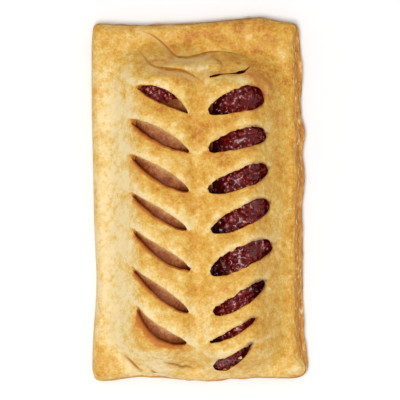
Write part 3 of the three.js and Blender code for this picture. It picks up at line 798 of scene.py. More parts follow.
combine(crust, [sausage_room] + sauce_rooms + cutters + blades, "DIFFERENCE")
print("flat pairs left out:", drop_flat_pairs(crust), "faces")
crust.data.shade_smooth()
crust.data.set_sharp_from_angle(angle=math.radians(50))
print("pastry with its slits:", face_count(crust), "triangles")

# %% [markdown]
# ## Baking marks, painted light and painted shade
#
# The oven doesn't brown evenly. The fold and the near end stayed pale, the far end and the sauce's side got
# dark, every edge that stands over a slit is pale, and the edge on its other side is soaked and
# brown. Painted shade darkens the creases, the fold valleys and the feet of the cut walls, and painted light
# lightens bands on the far folds. These follow the shape and not a texture, so each point of the mesh stores
# them as attributes that the material reads later.

# %% Where the pastry is browned, soaked, stained or leafy, and where light and shade are painted
def in_photo_frame(made):
    flat = np.empty(len(made.data.vertices) * 3)
    made.data.vertices.foreach_get("co", flat)
    return flat.reshape(-1, 3) / MM + (BOX_MIDDLE[0], BOX_MIDDLE[1], 0)


EDGE_SEARCH = {"reach": 8.0, "beyond_x": 34, "beyond_y": 64, "batch": 4000}


def inside_edge(x, y):
    """Distance to the pastry's outline, as far as the reach of the search."""
    loop = outline()[0]
    distance = np.full(len(x), EDGE_SEARCH["reach"])
    close = np.flatnonzero((np.abs(x) > EDGE_SEARCH["beyond_x"]) | (np.abs(y) > EDGE_SEARCH["beyond_y"]))
    for part in np.array_split(close, max(1, len(close) // EDGE_SEARCH["batch"])):
        away = np.hypot(x[part, None] - loop[None, :, 0], y[part, None] - loop[None, :, 1])
        distance[part] = np.minimum(away.min(axis=1), EDGE_SEARCH["reach"])
    return distance


PALE_REACH = 3.4
GROOVE = {"along": (0.78, 0.92), "reach": 0.45, "soaked": 0.55}
SOAK = {"reach": 0.5, "per_roll": 0.8, "full_roll": 1.6, "sharpness": 2.5, "halo": 2.0}
OOZE = {"along": (0.55, 1.0), "reach": 0.9}


def slit_marks(x, y):
    """Pale far edges, soaked near edges and the browner dough round them, the grooves in which slits run
    out, sauce stains, and the places on the far side of the nearest slit."""
    pale, soaked, halo, groove, stained, far_side = [np.zeros_like(x) for _ in range(6)]
    closest = np.full(len(x), np.inf)
    for slit in SLITS:
        off, half, clear, t = beside_slit(slit, x, y)
        far = smooth(-0.3, 0.3, off / np.maximum(half, 1))
        far_side = np.where(clear < closest, far, far_side)
        closest = np.minimum(closest, clear)
        strength = min(1, max(slit["widths"]) / FULL_LIP_WIDTH)
        run_out = (1 - slit["sauce"]) * smooth(*GROOVE["along"], t) * fade(clear, GROOVE["reach"])
        groove = np.maximum(groove, run_out)
        pale = np.maximum(pale, strength * far * fade(clear, PALE_REACH)) * (1 - run_out)
        outer = mix(0.6, 1.0, smooth(0.1, 0.6, t)) * mix(0.3, 1, min(1, slit["roll"] / SOAK["full_roll"]))
        reach = (SOAK["reach"] + SOAK["per_roll"] * slit["roll"]) * mix(0.8, 1.2, smooth(0.3, 0.85, t))
        tapered = strength * (1 - far) * outer * (1 - 0.9 * smooth(0.86, 1.0, t))
        soaked = np.maximum(soaked, tapered * np.exp(-((clear / reach) ** SOAK["sharpness"])))
        halo = np.maximum(halo, strength * (1 - far) * outer * fade(clear, SOAK["halo"] * reach))
        soaked = np.maximum(soaked, GROOVE["soaked"] * run_out)
        ooze = smooth(*OOZE["along"], t) * fade(clear, OOZE["reach"])
        stained = np.maximum(stained, slit["sauce"] * strength * ooze)
    return pale, soaked, halo, groove, stained, far_side


def near_curve(x, y, points, width):
    """1 on a curve and less away from it, over this width."""
    strength = np.zeros_like(x)
    close, away, off, share = beside_curve(points, x, y, 3 * width)
    strength[close] = fade(away, width)
    return strength


# Painted shade along the creases: a dark line on each one and a softer foot on the lower layer beside it.
CREASE_LINE = {"reach": 6, "width": 0.75}
CREASE_FOOT = {"strength": 0.45, "width": 1.8}


def crease_shade_marks(x, y):
    """Painted shade: 1 along the creases and less beside them at the lower layer, where the upper layer's
    shadow falls.
    """
    creased = np.zeros_like(x)
    for crease in CREASES:
        close, away, off, share = beside_curve(crease["through"], x, y, CREASE_LINE["reach"])
        ends = np.sqrt(np.sin(np.pi * share)) * crease["dark"]
        foot = CREASE_FOOT["strength"] * fade(away, CREASE_FOOT["width"]) * smooth(0.4, -0.4, off)
        dark = fade(away, CREASE_LINE["width"]) + foot
        creased[close] = np.maximum(creased[close], ends * dark)
    return np.clip(creased, 0, 1)


CRACK_STAIN = {
    "through": [(19.5, 55.4), (22.8, 53.6), (26.2, 49.5), (27.4, 46.5)],
    "width": 2.1, "strength": 0.62,
}
SCUFF = {"through": [(23.3, -60.6), (27, -59.3), (30.0, -57.8)], "width": 0.9}
BAND_COLUMNS = ("through", "width", "strength")
# Painted light: pale tan bands that lighten the faces of the far folds, which lie in shade, and the tongue's
# tail.
FOLD_LIGHT_BANDS = table(BAND_COLUMNS, [
    ([(-27, 73.2), (-22.5, 71.8), (-18.5, 69.6), (-14.5, 65.8)], 1.0, 0.7),
    ([(-13.5, 61.4), (-6, 60.6), (0, 61.0), (4, 62.6)], 1.3, 0.9),
    ([(-20, 57.0), (-13, 55.6), (-7, 54.8), (-2, 52.6)], 1.3, 0.6),
    ([(3, 56.5), (2.6, 53), (2.2, 49.5)], 1.2, 0.5),
])
# Mostly painted shade: darker bands in the fold valleys at both ends, where folds meet and a shadow line
# runs under the near end's fold, plus two small dark spots near the far edge.
FOLD_SHADE_AND_SPOTS = table(BAND_COLUMNS, [
    ([(-21.5, 60.2), (-17, 60.4), (-12.5, 61.4), (-10.8, 63.6)], 1.8, 0.5),
    ([(-25.4, 64), (-22.8, 61), (-20, 59)], 0.9, 0.5),
    ([(-17, 57.2), (-12, 56.8), (-7.5, 56.4), (-4.8, 55.4)], 0.7, 0.7),
    ([(9.0, 62.6), (10.4, 60.4), (10.2, 58)], 1.0, 0.45),
    ([(-7.9, 72.7), (-7.0, 72.3)], 0.8, 0.6),
    ([(19.1, 71.4), (19.5, 71.2)], 0.45, 0.9),
    ([(-28.5, -50), (-25, -57), (-18, -62.5), (-9, -65)], 1.8, 0.3),
    ([(-21, -59.8), (-17.8, -61.6), (-14.8, -62.3), (-11, -62.7), (-7.5, -62.5)], 0.9, 0.85),
])
PATCHES = table(("x", "y", "across", "along", "browner"), [
    (-39, -70, 7, 6, 0.22), (-37, 4, 9, 62, -0.40), (-22, -70, 11, 6, -0.25),
    (-34, -56, 6, 15, -0.20), (0, -58, 5, 8, -0.22), (-1, -4, 29, 62, 0.07),
    (36, 20, 7, 60, 0.02), (12, 72, 26, 5, 0.10), (-6, 57.6, 11, 2, -0.30),
    (19, 59.5, 2, 3, -0.20), (14, 52, 9, 1.6, -0.25), (20.8, 70.4, 1.6, 1.6, -0.45),
    (28, 51, 6, 7, 0.18), (17, -5, 11, 55, 0.07), (33, -5, 6, 65, -0.05),
    (-40, 62, 7, 14, 0.14), (8, -74, 34, 3, -0.16), (-30, -10, 4, 55, -0.06),
])


def strongest(x, y, bands):
    """The strongest of several bands that follow curves."""
    marks = [band["strength"] * near_curve(x, y, band["through"], band["width"]) for band in bands]
    return np.max(marks, axis=0)


def store(made, name, values):
    layer = made.data.attributes.new(name, "FLOAT", "POINT")
    layer.data.foreach_set("value", np.ascontiguousarray(np.clip(values, 0, 1), dtype=np.float32))


EVEN_BAKE = {"middle": 0.50, "across": 0.11, "along": 0.10, "half_width": 45, "half_length": 78}


def browning(x, y, pale, halo):
    """How brown the oven left each place: darker towards the far end and the sauce's side."""
    bake = EVEN_BAKE["middle"] + EVEN_BAKE["across"] * x / EVEN_BAKE["half_width"]
    bake = bake + EVEN_BAKE["along"] * y / EVEN_BAKE["half_length"]
    for patch in PATCHES:
        away = ((x - patch["x"]) / patch["across"]) ** 4 + ((y - patch["y"]) / patch["along"]) ** 4
        bake += patch["browner"] * np.exp(-away)
    bake += 0.09 * noise(x, y, 9, 91) + 0.06 * noise(x, y, 4, 92)
    return bake - 0.36 * pale + 0.22 * halo


SIDE_ZONE = (5.5, 7.5)
FOLD_ZONE = (-44, -38)
SAUCE_ZONE = (-1, 2)
LAPPED_ZONE = {"across": (38, 41), "near": (-72, -64), "far": (70, 74)}
WALL_DEPTH = (0.0, 1.5)
FIRST_LAYER = {"cut": 3.0, "lapped": 0.5, "width": 1.5}


def mark_pastry(made):
    """Store what the oven and the fillings did to each place, and the painted light and shade, from its
    height and its way to the edges.
    """
    x, y, z = in_photo_frame(made).T
    under = pastry_top(x, y) - z
    at_side = 1 - smooth(*SIDE_ZONE, inside_edge(x, y))
    pale, soaked, halo, groove, stained, far_side = slit_marks(x, y)
    walls = smooth(*WALL_DEPTH, under) * (1 - at_side)
    # Painted shade: the lowest part of each cut wall, beside the filling, is marked to be darkened into the
    # dark line of the gap's shadow.
    deep = walls * smooth(LID - 0.9, LID - 0.2, plain_lid(x, y) - z)
    over_sauce = smooth(*SAUCE_ZONE, x)
    fold = 1 - smooth(*FOLD_ZONE, x)
    lapped = smooth(*LAPPED_ZONE["across"], x) * smooth(*LAPPED_ZONE["near"], y)
    lapped = lapped * (1 - smooth(*LAPPED_ZONE["far"], y))
    first = mix(FIRST_LAYER["cut"], FIRST_LAYER["lapped"], lapped)
    side_layers = smooth(first, first + FIRST_LAYER["width"], under) * at_side * (1 - fold)
    # Over the sausage only the wall's foot is darkened, as painted shade; over the sauce the whole wall
    # takes the sauce stain.
    inside = np.maximum(deep * mix(0.35, 1, over_sauce) * (1 - groove), walls * over_sauce)
    stained = np.maximum(stained, inside)
    scuff = near_curve(x, y, SCUFF["through"], SCUFF["width"])
    # Painted shade in the fold valleys, two small dark spots and the sauce stain beside the crack.
    shade_spots_and_stain = strongest(x, y, FOLD_SHADE_AND_SPOTS + [CRACK_STAIN])
    store(made, "bake", browning(x, y, np.maximum(pale, scuff), halo))
    wall_tone = walls * (1 - 0.6 * far_side) * (1 - 0.35 * groove)
    # Besides the soaked near edges and walls, this mark carries the painted shade of the fold valleys.
    store(made, "soaked", np.maximum(np.maximum(0.85 * soaked, 0.8 * shade_spots_and_stain), wall_tone))
    # Painted light on the far folds, kept off the cut walls.
    store(made, "raw", strongest(x, y, FOLD_LIGHT_BANDS) * (1 - walls))
    # Real sauce stains, and painted shade at the feet of the walls over the sausage.
    store(made, "stained", stained)
    store(made, "layers", np.maximum(side_layers, 0.8 * far_side * walls * (1 - deep)))
    in_reach = mix(0.85, 1.0, smooth(0.2, 0.6, under)) * (1 - at_side * smooth(0.6, 1.2, under))
    # Painted shade along the creases.
    store(made, "creased", crease_shade_marks(x, y) * in_reach)
    store(made, "flaky", side_layers * smooth(1.5, 3, z) * lapped)


mark_pastry(crust)
print("marks on the pastry:", [layer.name for layer in crust.data.attributes])

# %% [markdown]
# ## Nodes from expressions
#
# Both materials and Geometry Nodes are graphs, and both are easier to read as formulas. One class holds an
# output socket and turns Python's operators into Math nodes, and one method makes every other node.

# %% A graph and its wires
class Wire:
    """An output socket that Python's operators work on."""

    def __init__(self, graph, socket):
        self.graph = graph
        self.socket = socket

    def maths(self, operation, first, second):
        return self.graph.node("ShaderNodeMath", {"operation": operation}, {0: first, 1: second})

    def limited(self, low=0.0, high=1.0):
        return self.maths("MINIMUM", self.maths("MAXIMUM", self, low), high)

    def step(self, low, high):
        """0 below low, 1 above high and a smooth rise between."""
        settings = {"interpolation_type": "SMOOTHSTEP"}
        values = {"Value": self, "From Min": low, "From Max": high}
        return self.graph.node("ShaderNodeMapRange", settings, values)


def add_operator(name, operation):
    """Give Wire one of Python's operators and its reflected form, so that 1 - mask works too."""
    setattr(Wire, f"__{name}__", lambda self, other: self.maths(operation, self, other))
    setattr(Wire, f"__r{name}__", lambda self, other: self.maths(operation, other, self))


OPERATORS = {"add": "ADD", "sub": "SUBTRACT", "mul": "MULTIPLY", "truediv": "DIVIDE", "pow": "POWER"}
for name, operation in OPERATORS.items():
    add_operator(name, operation)


class Graph:
    """A node tree of a material or of Geometry Nodes."""

    def __init__(self, tree):
        self.tree = tree

    def node(self, kind, settings=None, values=None, output=0):
        made = self.tree.nodes.new(kind)
        for name, value in (settings or {}).items():
            if name == "stops":
                self.fill_ramp(made.color_ramp, value)
            else:
                setattr(made, name, value)
        for name, value in (values or {}).items():
            self.feed(self.socket(made.inputs, name), value)
        return Wire(self, self.socket(made.outputs, output))

    def socket(self, sockets, name):
        if isinstance(name, int):
            return sockets[name]
        return next(s for s in sockets if s.enabled and name in (s.name, s.identifier))

    def feed(self, socket, value):
        if isinstance(value, Wire):
            self.tree.links.new(value.socket, socket)
        elif isinstance(value, list):
            for wire in value:
                self.tree.links.new(wire.socket, socket)
        else:
            socket.default_value = value

    def fill_ramp(self, ramp, stops):
        for place, colour in stops[2:]:
            ramp.elements.new(place)
        for element, (place, colour) in zip(ramp.elements, stops):
            element.position = place
        for element, (place, colour) in zip(ramp.elements, stops):
            element.color = (*colour, 1)


# %% A finish is a graph that ends in one shader
class Finish(Graph):
    """A procedural material, whose constants sit on the shader's own sockets."""

    def __init__(self, name, **constants):
        self.material = bpy.data.materials.new(name)
        self.material.use_nodes = True
        super().__init__(self.material.node_tree)
        self.tree.nodes.clear()
        self.shader = self.tree.nodes.new("ShaderNodeBsdfPrincipled")
        end = self.tree.nodes.new("ShaderNodeOutputMaterial")
        self.tree.links.new(self.shader.outputs[0], end.inputs["Surface"])
        self.place = self.node("ShaderNodeTexCoord", output="Object")
        self.set(**constants)

    def set(self, **inputs):
        for name, value in inputs.items():
            self.feed(self.shader.inputs[name.replace("_", " ")], value)

    def mark(self, name):
        return self.node("ShaderNodeAttribute", {"attribute_name": name}, output="Fac")

    def scaled(self, x, y, z):
        """Object coordinates with a scale for each axis."""
        return self.node("ShaderNodeVectorMath", {"operation": "MULTIPLY"}, {0: self.place, 1: (x, y, z)})

    def grain(self, size, detail=2.0, roughness=0.5, place=None):
        """Noise from 0 to 1 whose grains are about this many metres across."""
        values = {"Vector": place or self.place, "Scale": 1 / size, "Detail": detail, "Roughness": roughness}
        return self.node("ShaderNodeTexNoise", values=values, output="Fac")

    def tint(self, first, second, share):
        values = {"Factor_Float": share, "A_Color": self.solid(first), "B_Color": self.solid(second)}
        return self.node("ShaderNodeMix", {"data_type": "RGBA"}, values, "Result_Color")

    def solid(self, colour):
        return colour if isinstance(colour, Wire) else (*colour, 1)

    def ramp(self, share, stops):
        return self.node("ShaderNodeValToRGB", {"stops": stops}, {"Fac": share}, "Color")

    def bumps(self, height, distance, strength=1.0):
        values = {"Height": height, "Distance": distance, "Strength": strength}
        return self.node("ShaderNodeBump", values=values)


print("the graph helpers are ready")

# %% [markdown]
# ## The baked crust
#
# A ramp from cream over gold to brown follows the bake attribute, and noise at three sizes breaks it up as
# the egg wash and the blisters do. The soaked walls are darker and wetter, and the cut sides alternate
# between pale leaves and brown gaps, stretched along the layers. Painted shade darkens the creases, the fold
# valleys and the wall feet over the sausage, and painted light lightens bands on the far folds.

# %% Pastry finish
def pastry_finish():
    finish = Finish("pastry", Coat_Roughness=0.35, Specular_IOR_Level=0.25)
    bake = finish.mark("bake")
    soaked = finish.mark("soaked")
    stained = finish.mark("stained")
    layers = finish.mark("layers")
    creased = finish.mark("creased")
    raw = finish.mark("raw")
    cloud = finish.grain(0.0062, 3.0, 0.55)
    patch = finish.grain(0.0026, 2.0, 0.6)
    speck = finish.grain(0.0009, 2.0, 0.6)
    tone = bake + 1.0 * (cloud - 0.5) + 1.0 * (patch - 0.5) + 0.9 * (speck - 0.5)
    crust_colour = finish.ramp(tone.limited(), [
        (0.0, (0.80, 0.63, 0.33)),
        (0.25, (0.74, 0.51, 0.17)),
        (0.5, (0.67, 0.385, 0.065)),
        (0.75, (0.60, 0.28, 0.03)),
        (1.0, (0.46, 0.16, 0.015)),
    ])
    blush = finish.grain(0.0045, 2.0, 0.5, finish.scaled(1.0, 1.0, 1.3))
    crust_colour = finish.tint(crust_colour, (0.72, 0.38, 0.16), blush.step(0.55, 0.8) * 0.35)
    crust_colour = finish.tint(crust_colour, (0.66, 0.47, 0.07), (1 - blush).step(0.58, 0.8) * 0.35)
    blotch = (patch - 0.5) + 0.8 * (speck - 0.5)
    wall_colour = finish.ramp((soaked + blotch * 0.7).limited(), [
        (0.0, (0.70, 0.38, 0.06)),
        (0.35, (0.64, 0.27, 0.038)),
        (0.60, (0.52, 0.17, 0.026)),
        (1.0, (0.50, 0.15, 0.026)),
    ])
    # Painted light: pale bands lighten the shaded faces of the far folds.
    crust_colour = finish.tint(crust_colour, (0.88, 0.62, 0.30), (raw * (0.55 + 0.5 * patch)).limited())
    # The soaked mark darkens the soaked edges and walls and, as painted shade, the fold valleys.
    colour = finish.tint(crust_colour, wall_colour, (soaked + blotch * 0.5).step(0.05, 0.55))
    leaf_tone = finish.grain(0.0035, 2.0, 0.6, finish.scaled(1, 1, 9))
    leaf_colour = finish.ramp(leaf_tone, [
        (0.36, (0.44, 0.16, 0.025)),
        (0.56, (0.60, 0.28, 0.05)),
        (0.68, (0.80, 0.52, 0.20)),
    ])
    colour = finish.tint(colour, leaf_colour, layers * 0.92)
    # Painted shade: the creases and the lower layer beside them are darkened to brown.
    crease_shade_colour = finish.ramp(creased, [(0.3, (0.62, 0.35, 0.07)), (0.9, (0.40, 0.17, 0.018))])
    colour = finish.tint(colour, crease_shade_colour, (creased * 1.3).limited())
    # Dark red-brown for the sauce stains and, as painted shade, at the feet of the walls over the sausage.
    colour = finish.tint(colour, (0.16, 0.014, 0.006), (stained * (0.5 + patch) * 0.9).limited())
    finish.set(Base_Color=colour)
    wash = (1 - layers) * (1 - soaked) * cloud.step(0.35, 0.65)
    finish.set(Coat_Weight=wash * 0.12, Roughness=0.62 - 0.12 * cloud - 0.12 * soaked)
    height = patch * 0.5 + speck * 0.35 + finish.grain(0.00035, 1.0) * 0.15 + layers * leaf_tone
    finish.set(Normal=finish.bumps(height, 0.0006, 0.9))
    return finish.material


crust.data.materials.clear()
crust.data.materials.append(pastry_finish())
print("pastry finish:", len(crust.data.materials[0].node_tree.nodes), "nodes")

# %% [markdown]
# ## The sausage
#
# The sausage is one tube that swells from nothing to its full width, with a slight bow. That is a rule with
# few sizes, so Geometry Nodes grow it: a curve gives the way, a circle the section, and noise the uneven
# skin. The same tree would make a thinner or longer one by changing its inputs. Where a slit shows it,
# painted light makes it lighter towards the far edge, painted shade darkens a line along the near edge,
# and it is red from the sauce at the inner end.

# %% Helpers for Geometry Nodes
def new_growth(name):
    tree = bpy.data.node_groups.new(name, "GeometryNodeTree")
    tree.interface.new_socket("Geometry", in_out="OUTPUT", socket_type="NodeSocketGeometry")
    graph = Graph(tree)
    graph.start = tree.nodes.new("NodeGroupInput")
    graph.end = tree.nodes.new("NodeGroupOutput")
    graph.given = {}
    return graph


def size_input(graph, name, value, kind="NodeSocketFloat"):
    """A named input of the tree, with the value that this roll uses."""
    socket = graph.tree.interface.new_socket(name, in_out="INPUT", socket_type=kind)
    graph.given[socket.identifier] = value
    return Wire(graph, next(s for s in graph.start.outputs if s.identifier == socket.identifier))


def finish_growth(graph, geometry, material):
    """Realize the instances, set the material and end the tree."""
    slot = size_input(graph, "Finish", material, "NodeSocketMaterial")
    solid = graph.node("GeometryNodeRealizeInstances", values={"Geometry": geometry})
    smoothed = graph.node("GeometryNodeSetShadeSmooth", values={"Geometry": solid})
    coloured = graph.node("GeometryNodeSetMaterial", values={"Geometry": smoothed, "Material": slot})
    graph.tree.links.new(coloured.socket, graph.end.inputs[0])


def grown(name, graph, start=None):
    """A plain mesh object from what the tree makes, out of nothing or out of a start."""
    made = start or mesh_object(name, np.zeros((0, 3)), [])
    made.name = name
    modifier = made.modifiers.new("growth", "NODES")
    modifier.node_group = graph.tree
    for identifier, value in graph.given.items():
        modifier[identifier] = value
    flatten(made)
    return made


def vector(graph, x, y, z):
    return graph.node("ShaderNodeCombineXYZ", values={0: x, 1: y, 2: z})


def axes(graph, wire):
    """The x, y and z of a vector."""
    parts = graph.tree.nodes.new("ShaderNodeSeparateXYZ")
    graph.feed(parts.inputs[0], wire)
    return [Wire(graph, socket) for socket in parts.outputs]


def chance(graph, low, high, seed):
    """A random number, or a random vector where the limits are vectors."""
    if isinstance(low, tuple):
        values = {"Min": low, "Max": high, "Seed": seed}
        return graph.node("FunctionNodeRandomValue", {"data_type": "FLOAT_VECTOR"}, values)
    values = {"Min_001": low, "Max_001": high, "Seed": seed}
    return graph.node("FunctionNodeRandomValue", {"data_type": "FLOAT"}, values, "Value_001")


# %% Sausage finish
def sausage_finish():
    finish = Finish("frikandel", Coat_Roughness=0.3, Specular_IOR_Level=0.1)
    cloud = finish.grain(0.005, 2.0, 0.5)
    grit = finish.grain(0.0011, 3.0, 0.65)
    pores = finish.node("ShaderNodeTexVoronoi", {"feature": "F1"},
                        {"Vector": finish.place, "Scale": 700.0, "Randomness": 1.0}, "Distance")
    dry = finish.mark("dry")
    # Painted light: the sausage is made lighter towards each slit's far edge.
    tone = cloud * 0.35 + grit * 0.5 + dry * 0.34 + dry ** 6.0 * 0.18 - 0.13
    colour = finish.ramp(tone, [
        (0.28, (0.16, 0.034, 0.004)),
        (0.42, (0.25, 0.066, 0.015)),
        (0.58, (0.40, 0.155, 0.058)),
        (0.74, (0.56, 0.31, 0.11)),
    ])
    # Painted shade: a dark line along each slit's near edge, where the near wall's shadow falls; the dark
    # red at the inner tip is a sauce stain.
    colour = finish.tint(colour, (0.15, 0.016, 0.004), finish.mark("wet") * 0.6)
    finish.set(Base_Color=colour, Roughness=0.58 - 0.2 * cloud, Coat_Weight=0.10 * grit)
    height = grit * 0.7 + pores.limited(0, 0.6) * 0.5
    finish.set(Normal=finish.bumps(height, 0.0005, 0.9))
    return finish.material


# %% Growing the sausage
def grow_sausage():
    graph = new_growth("sausage")
    near_x = size_input(graph, "Near X", SAUSAGE["near"][0] * MM)
    near_y = size_input(graph, "Near Y", SAUSAGE["near"][1] * MM)
    far_x = size_input(graph, "Far X", SAUSAGE["far"][0] * MM)
    far_y = size_input(graph, "Far Y", SAUSAGE["far"][1] * MM)
    bow = size_input(graph, "Bow", SAUSAGE["bow"] * MM)
    width = size_input(graph, "Width", SAUSAGE["width"] * MM)
    height = size_input(graph, "Height", SAUSAGE["height"] * MM)
    base = size_input(graph, "Base Height", (FLOOR + GAP) * MM)
    cap = size_input(graph, "Rounded End", SAUSAGE["cap"] * MM)
    skin = size_input(graph, "Skin Unevenness", 0.35 * MM)
    middle = base + height * 0.5
    box_x, box_y = BOX_MIDDLE[0] * MM, BOX_MIDDLE[1] * MM
    bowed_x = (near_x + far_x) * 0.5 + bow * 2
    way = graph.node("GeometryNodeCurveQuadraticBezier", values={
        "Resolution": 300,
        "Start": vector(graph, near_x - box_x, near_y - box_y, middle),
        "Middle": vector(graph, bowed_x - box_x, (near_y + far_y) * 0.5 - box_y, middle),
        "End": vector(graph, far_x - box_x, far_y - box_y, middle),
    })
    run = graph.node("GeometryNodeSplineParameter", output="Length")
    whole = graph.node("GeometryNodeSplineLength", output="Length")
    from_end = graph.node("ShaderNodeMath", {"operation": "MINIMUM"}, {0: run, 1: whole - run})
    fullness = (1 - (1 - (from_end / cap).limited()) ** 2.0).limited(0.0004, 1) ** 0.5
    section = graph.node("GeometryNodeCurvePrimitiveCircle", {}, {
        "Resolution": 180, "Radius": width * 0.5}, "Curve")
    tube = graph.node("GeometryNodeCurveToMesh", values={
        "Curve": way, "Profile Curve": section, "Scale": fullness, "Fill Caps": True})
    place = graph.node("GeometryNodeInputPosition")
    x, y, z = axes(graph, place)
    squashed = vector(graph, x, y, middle + (z - middle) * height / width)
    tube = graph.node("GeometryNodeSetPosition", values={"Geometry": tube, "Position": squashed})
    swell = graph.node("ShaderNodeTexNoise", {}, {"Vector": place, "Scale": 160.0, "Detail": 2.0}, "Fac")
    normal = graph.node("GeometryNodeInputNormal", output="Normal")
    values = {0: normal, "Scale": (swell - 0.62) * skin}
    push = graph.node("ShaderNodeVectorMath", {"operation": "SCALE"}, values)
    tube = graph.node("GeometryNodeSetPosition", values={"Geometry": tube, "Offset": push})
    finish_growth(graph, tube, sausage_finish())
    return grown("frikandel_sausage", graph)


# The width of the painted shade along each slit's near edge on the sausage.
EDGE_SHADE_WIDTH = 0.45


def mark_sausage(made):
    """Painted light towards the far edge of each slit, painted shade along its near edge, and a sauce stain
    at its inner end.
    """
    x, y = in_photo_frame(made).T[:2]
    dry, wet = np.full(len(x), 0.5), np.zeros(len(x))
    for slit in SAUSAGE_SLITS:
        off, half, clear, t = beside_slit(dict(slit, **OVER_SAUSAGE), x, y)
        here = clear < 1.0
        # Painted light: rising from the near edge to the far edge of the slit.
        dry[here] = (0.5 + 0.5 * off / np.maximum(half, 0.5))[here]
        # Painted shade along the near edge; the inner tip is a sauce stain.
        edge = fade(np.clip(off + half, 0, None), EDGE_SHADE_WIDTH)
        tip = 0.8 * (1 - smooth(0.02, 0.22, t))
        wet[here] = np.maximum(wet, np.maximum(edge, tip))[here]
    store(made, "dry", dry)
    store(made, "wet", wet)


def sides_in_mm(made):
    return [round(side / MM, 1) for side in made.dimensions]


sausage = grow_sausage()
mark_sausage(sausage)
print("sausage:", face_count(sausage), "triangles, sides in mm:", sides_in_mm(sausage))

# %% [markdown]
# ## The curry sauce
#
# The sauce is a thick, lumpy paste that bulges up through the slits. Its ridge comes from the same rule as
# the solid, and Geometry Nodes scatter soft lumps over the top of it and melt everything into one skin by
# way of a volume, which is how separate bits of onion look when a sauce coats them.

# %% The sauce's ridge
RIDGE_STEPS = 150
RIDGE_SIDES = 90
SWELL = {"height": 2.3, "start": 0.1, "full": 0.75, "reach": 1.2, "below_edge": 1.6, "crown": 0.5}


def raised_by_slits(rows):
    """Lift the ridge where it swelled into a slit, most at the slit's wider end."""
    x, y, z = np.asarray(rows).reshape(-1, 3).T
    lift = np.zeros_like(x)
    crust_above = pastry_top(x, y)
    for slit in SLITS:
        if slit["sauce"]:
            off, half, clear, t = beside_slit(slit, x, y)
            fuller = t if slit["widths"][1] > slit["widths"][0] else 1 - t
            rise = SWELL["height"] * smooth(SWELL["start"], SWELL["full"], fuller)
            rise = rise * fade(clear, SWELL["reach"])
            inward = np.clip(half - np.abs(off), 0, 3)
            room = crust_above - SWELL["below_edge"] + SWELL["crown"] * inward - z
            rise = np.clip(np.minimum(rise, room), 0, None)
            lift = np.maximum(lift, rise * min(1, max(slit["widths"]) / FULL_LIP_WIDTH))
    on_top = smooth(2, 5, z - FLOOR)
    return np.column_stack((x, y, z + lift * on_top)).reshape(np.shape(rows))


def sauce_ridge(part):
    return loft_object("sauce_ridge", raised_by_slits(sauce_rows(part, GAP, RIDGE_STEPS, RIDGE_SIDES)))


ridge = sauce_ridge(SAUCE_PARTS[0])
round_end = sauce_ridge(SAUCE_PARTS[1])
sausage_hollow = loft_object("sausage_hollow", sausage_rows(GAP, 60, 60))


combine(ridge, [round_end], "UNION")
combine(ridge, [sausage_hollow], "DIFFERENCE")
print("sauce ridge:", face_count(ridge), "triangles")

# %% Sauce finish
def sauce_finish():
    finish = Finish("curry_sauce", Coat_Weight=0.6, Coat_Roughness=0.2, Roughness=0.5,
                    Specular_IOR_Level=0.02)
    cloud = finish.grain(0.0026, 1.5, 0.5)
    fine = finish.grain(0.0012, 1.5, 0.5)
    # Painted highlights: the two lightest, pink stops stand in for glints on the wet sauce; the darker stops
    # are its own colour.
    colour = finish.ramp(cloud * 0.65 + fine * 0.35, [
        (0.40, (0.075, 0.001, 0.0005)),
        (0.52, (0.125, 0.003, 0.002)),
        (0.57, (0.17, 0.010, 0.008)),
        (0.61, (0.27, 0.070, 0.062)),
        (0.68, (0.55, 0.27, 0.27)),
    ])
    # Painted shade: the sauce is darkened at the inner ends of the slits.
    finish.set(Base_Color=finish.tint(colour, (0.02, 0.0006, 0.0006), finish.mark("deep") * 0.85))
    finish.set(Normal=finish.bumps(cloud + fine * 0.25, 0.0009, 1.0))
    return finish.material


# %% Scattering lumps and melting them together
def grow_sauce(start):
    graph = new_growth("curry sauce")
    graph.tree.interface.new_socket("Ridge", in_out="INPUT", socket_type="NodeSocketGeometry")
    base = Wire(graph, graph.start.outputs["Ridge"])
    spacing = size_input(graph, "Lump Spacing", 2.2 * MM)
    smallest = size_input(graph, "Smallest Lump", 0.9 * MM)
    largest = size_input(graph, "Largest Lump", 2.1 * MM)
    voxel = size_input(graph, "Skin Step", 0.52 * MM)
    seed = size_input(graph, "Seed", 11, "NodeSocketInt")
    upward = axes(graph, graph.node("GeometryNodeInputNormal", output="Normal"))[2]
    upper = graph.node("FunctionNodeCompare", {"operation": "GREATER_THAN"}, {0: upward, 1: 0.25})
    spots = graph.node("GeometryNodeDistributePointsOnFaces", {"distribute_method": "POISSON"}, {
        "Mesh": base, "Selection": upper, "Distance Min": spacing, "Density Max": 600000.0,
        "Seed": seed}, "Points")
    lump = graph.node("GeometryNodeMeshIcoSphere", {}, {"Radius": 1.0, "Subdivisions": 2}, "Mesh")
    turn = chance(graph, (0, 0, 0), (6.28, 6.28, 6.28), seed)
    size = chance(graph, smallest, largest, seed + 1)
    slim = chance(graph, 0.45, 1.0, seed + 2)
    lumps = graph.node("GeometryNodeInstanceOnPoints", values={
        "Points": spots, "Instance": lump, "Rotation": turn,
        "Scale": vector(graph, size, size * slim, size * slim)})
    lumps = graph.node("GeometryNodeRealizeInstances", values={"Geometry": lumps})
    together = graph.node("GeometryNodeJoinGeometry", values={"Geometry": [base, lumps]})
    cloud = graph.node("GeometryNodeMeshToVolume", {"resolution_mode": "VOXEL_SIZE"}, {
        "Mesh": together, "Density": 1.0, "Voxel Size": voxel, "Interior Band Width": voxel * 3})
    skin = graph.node("GeometryNodeVolumeToMesh", {"resolution_mode": "VOXEL_SIZE"},
                      {"Volume": cloud, "Voxel Size": voxel, "Threshold": 0.2, "Adaptivity": 0.0})
    finish_growth(graph, skin, sauce_finish())
    return grown("sauce_lumps", graph, start)


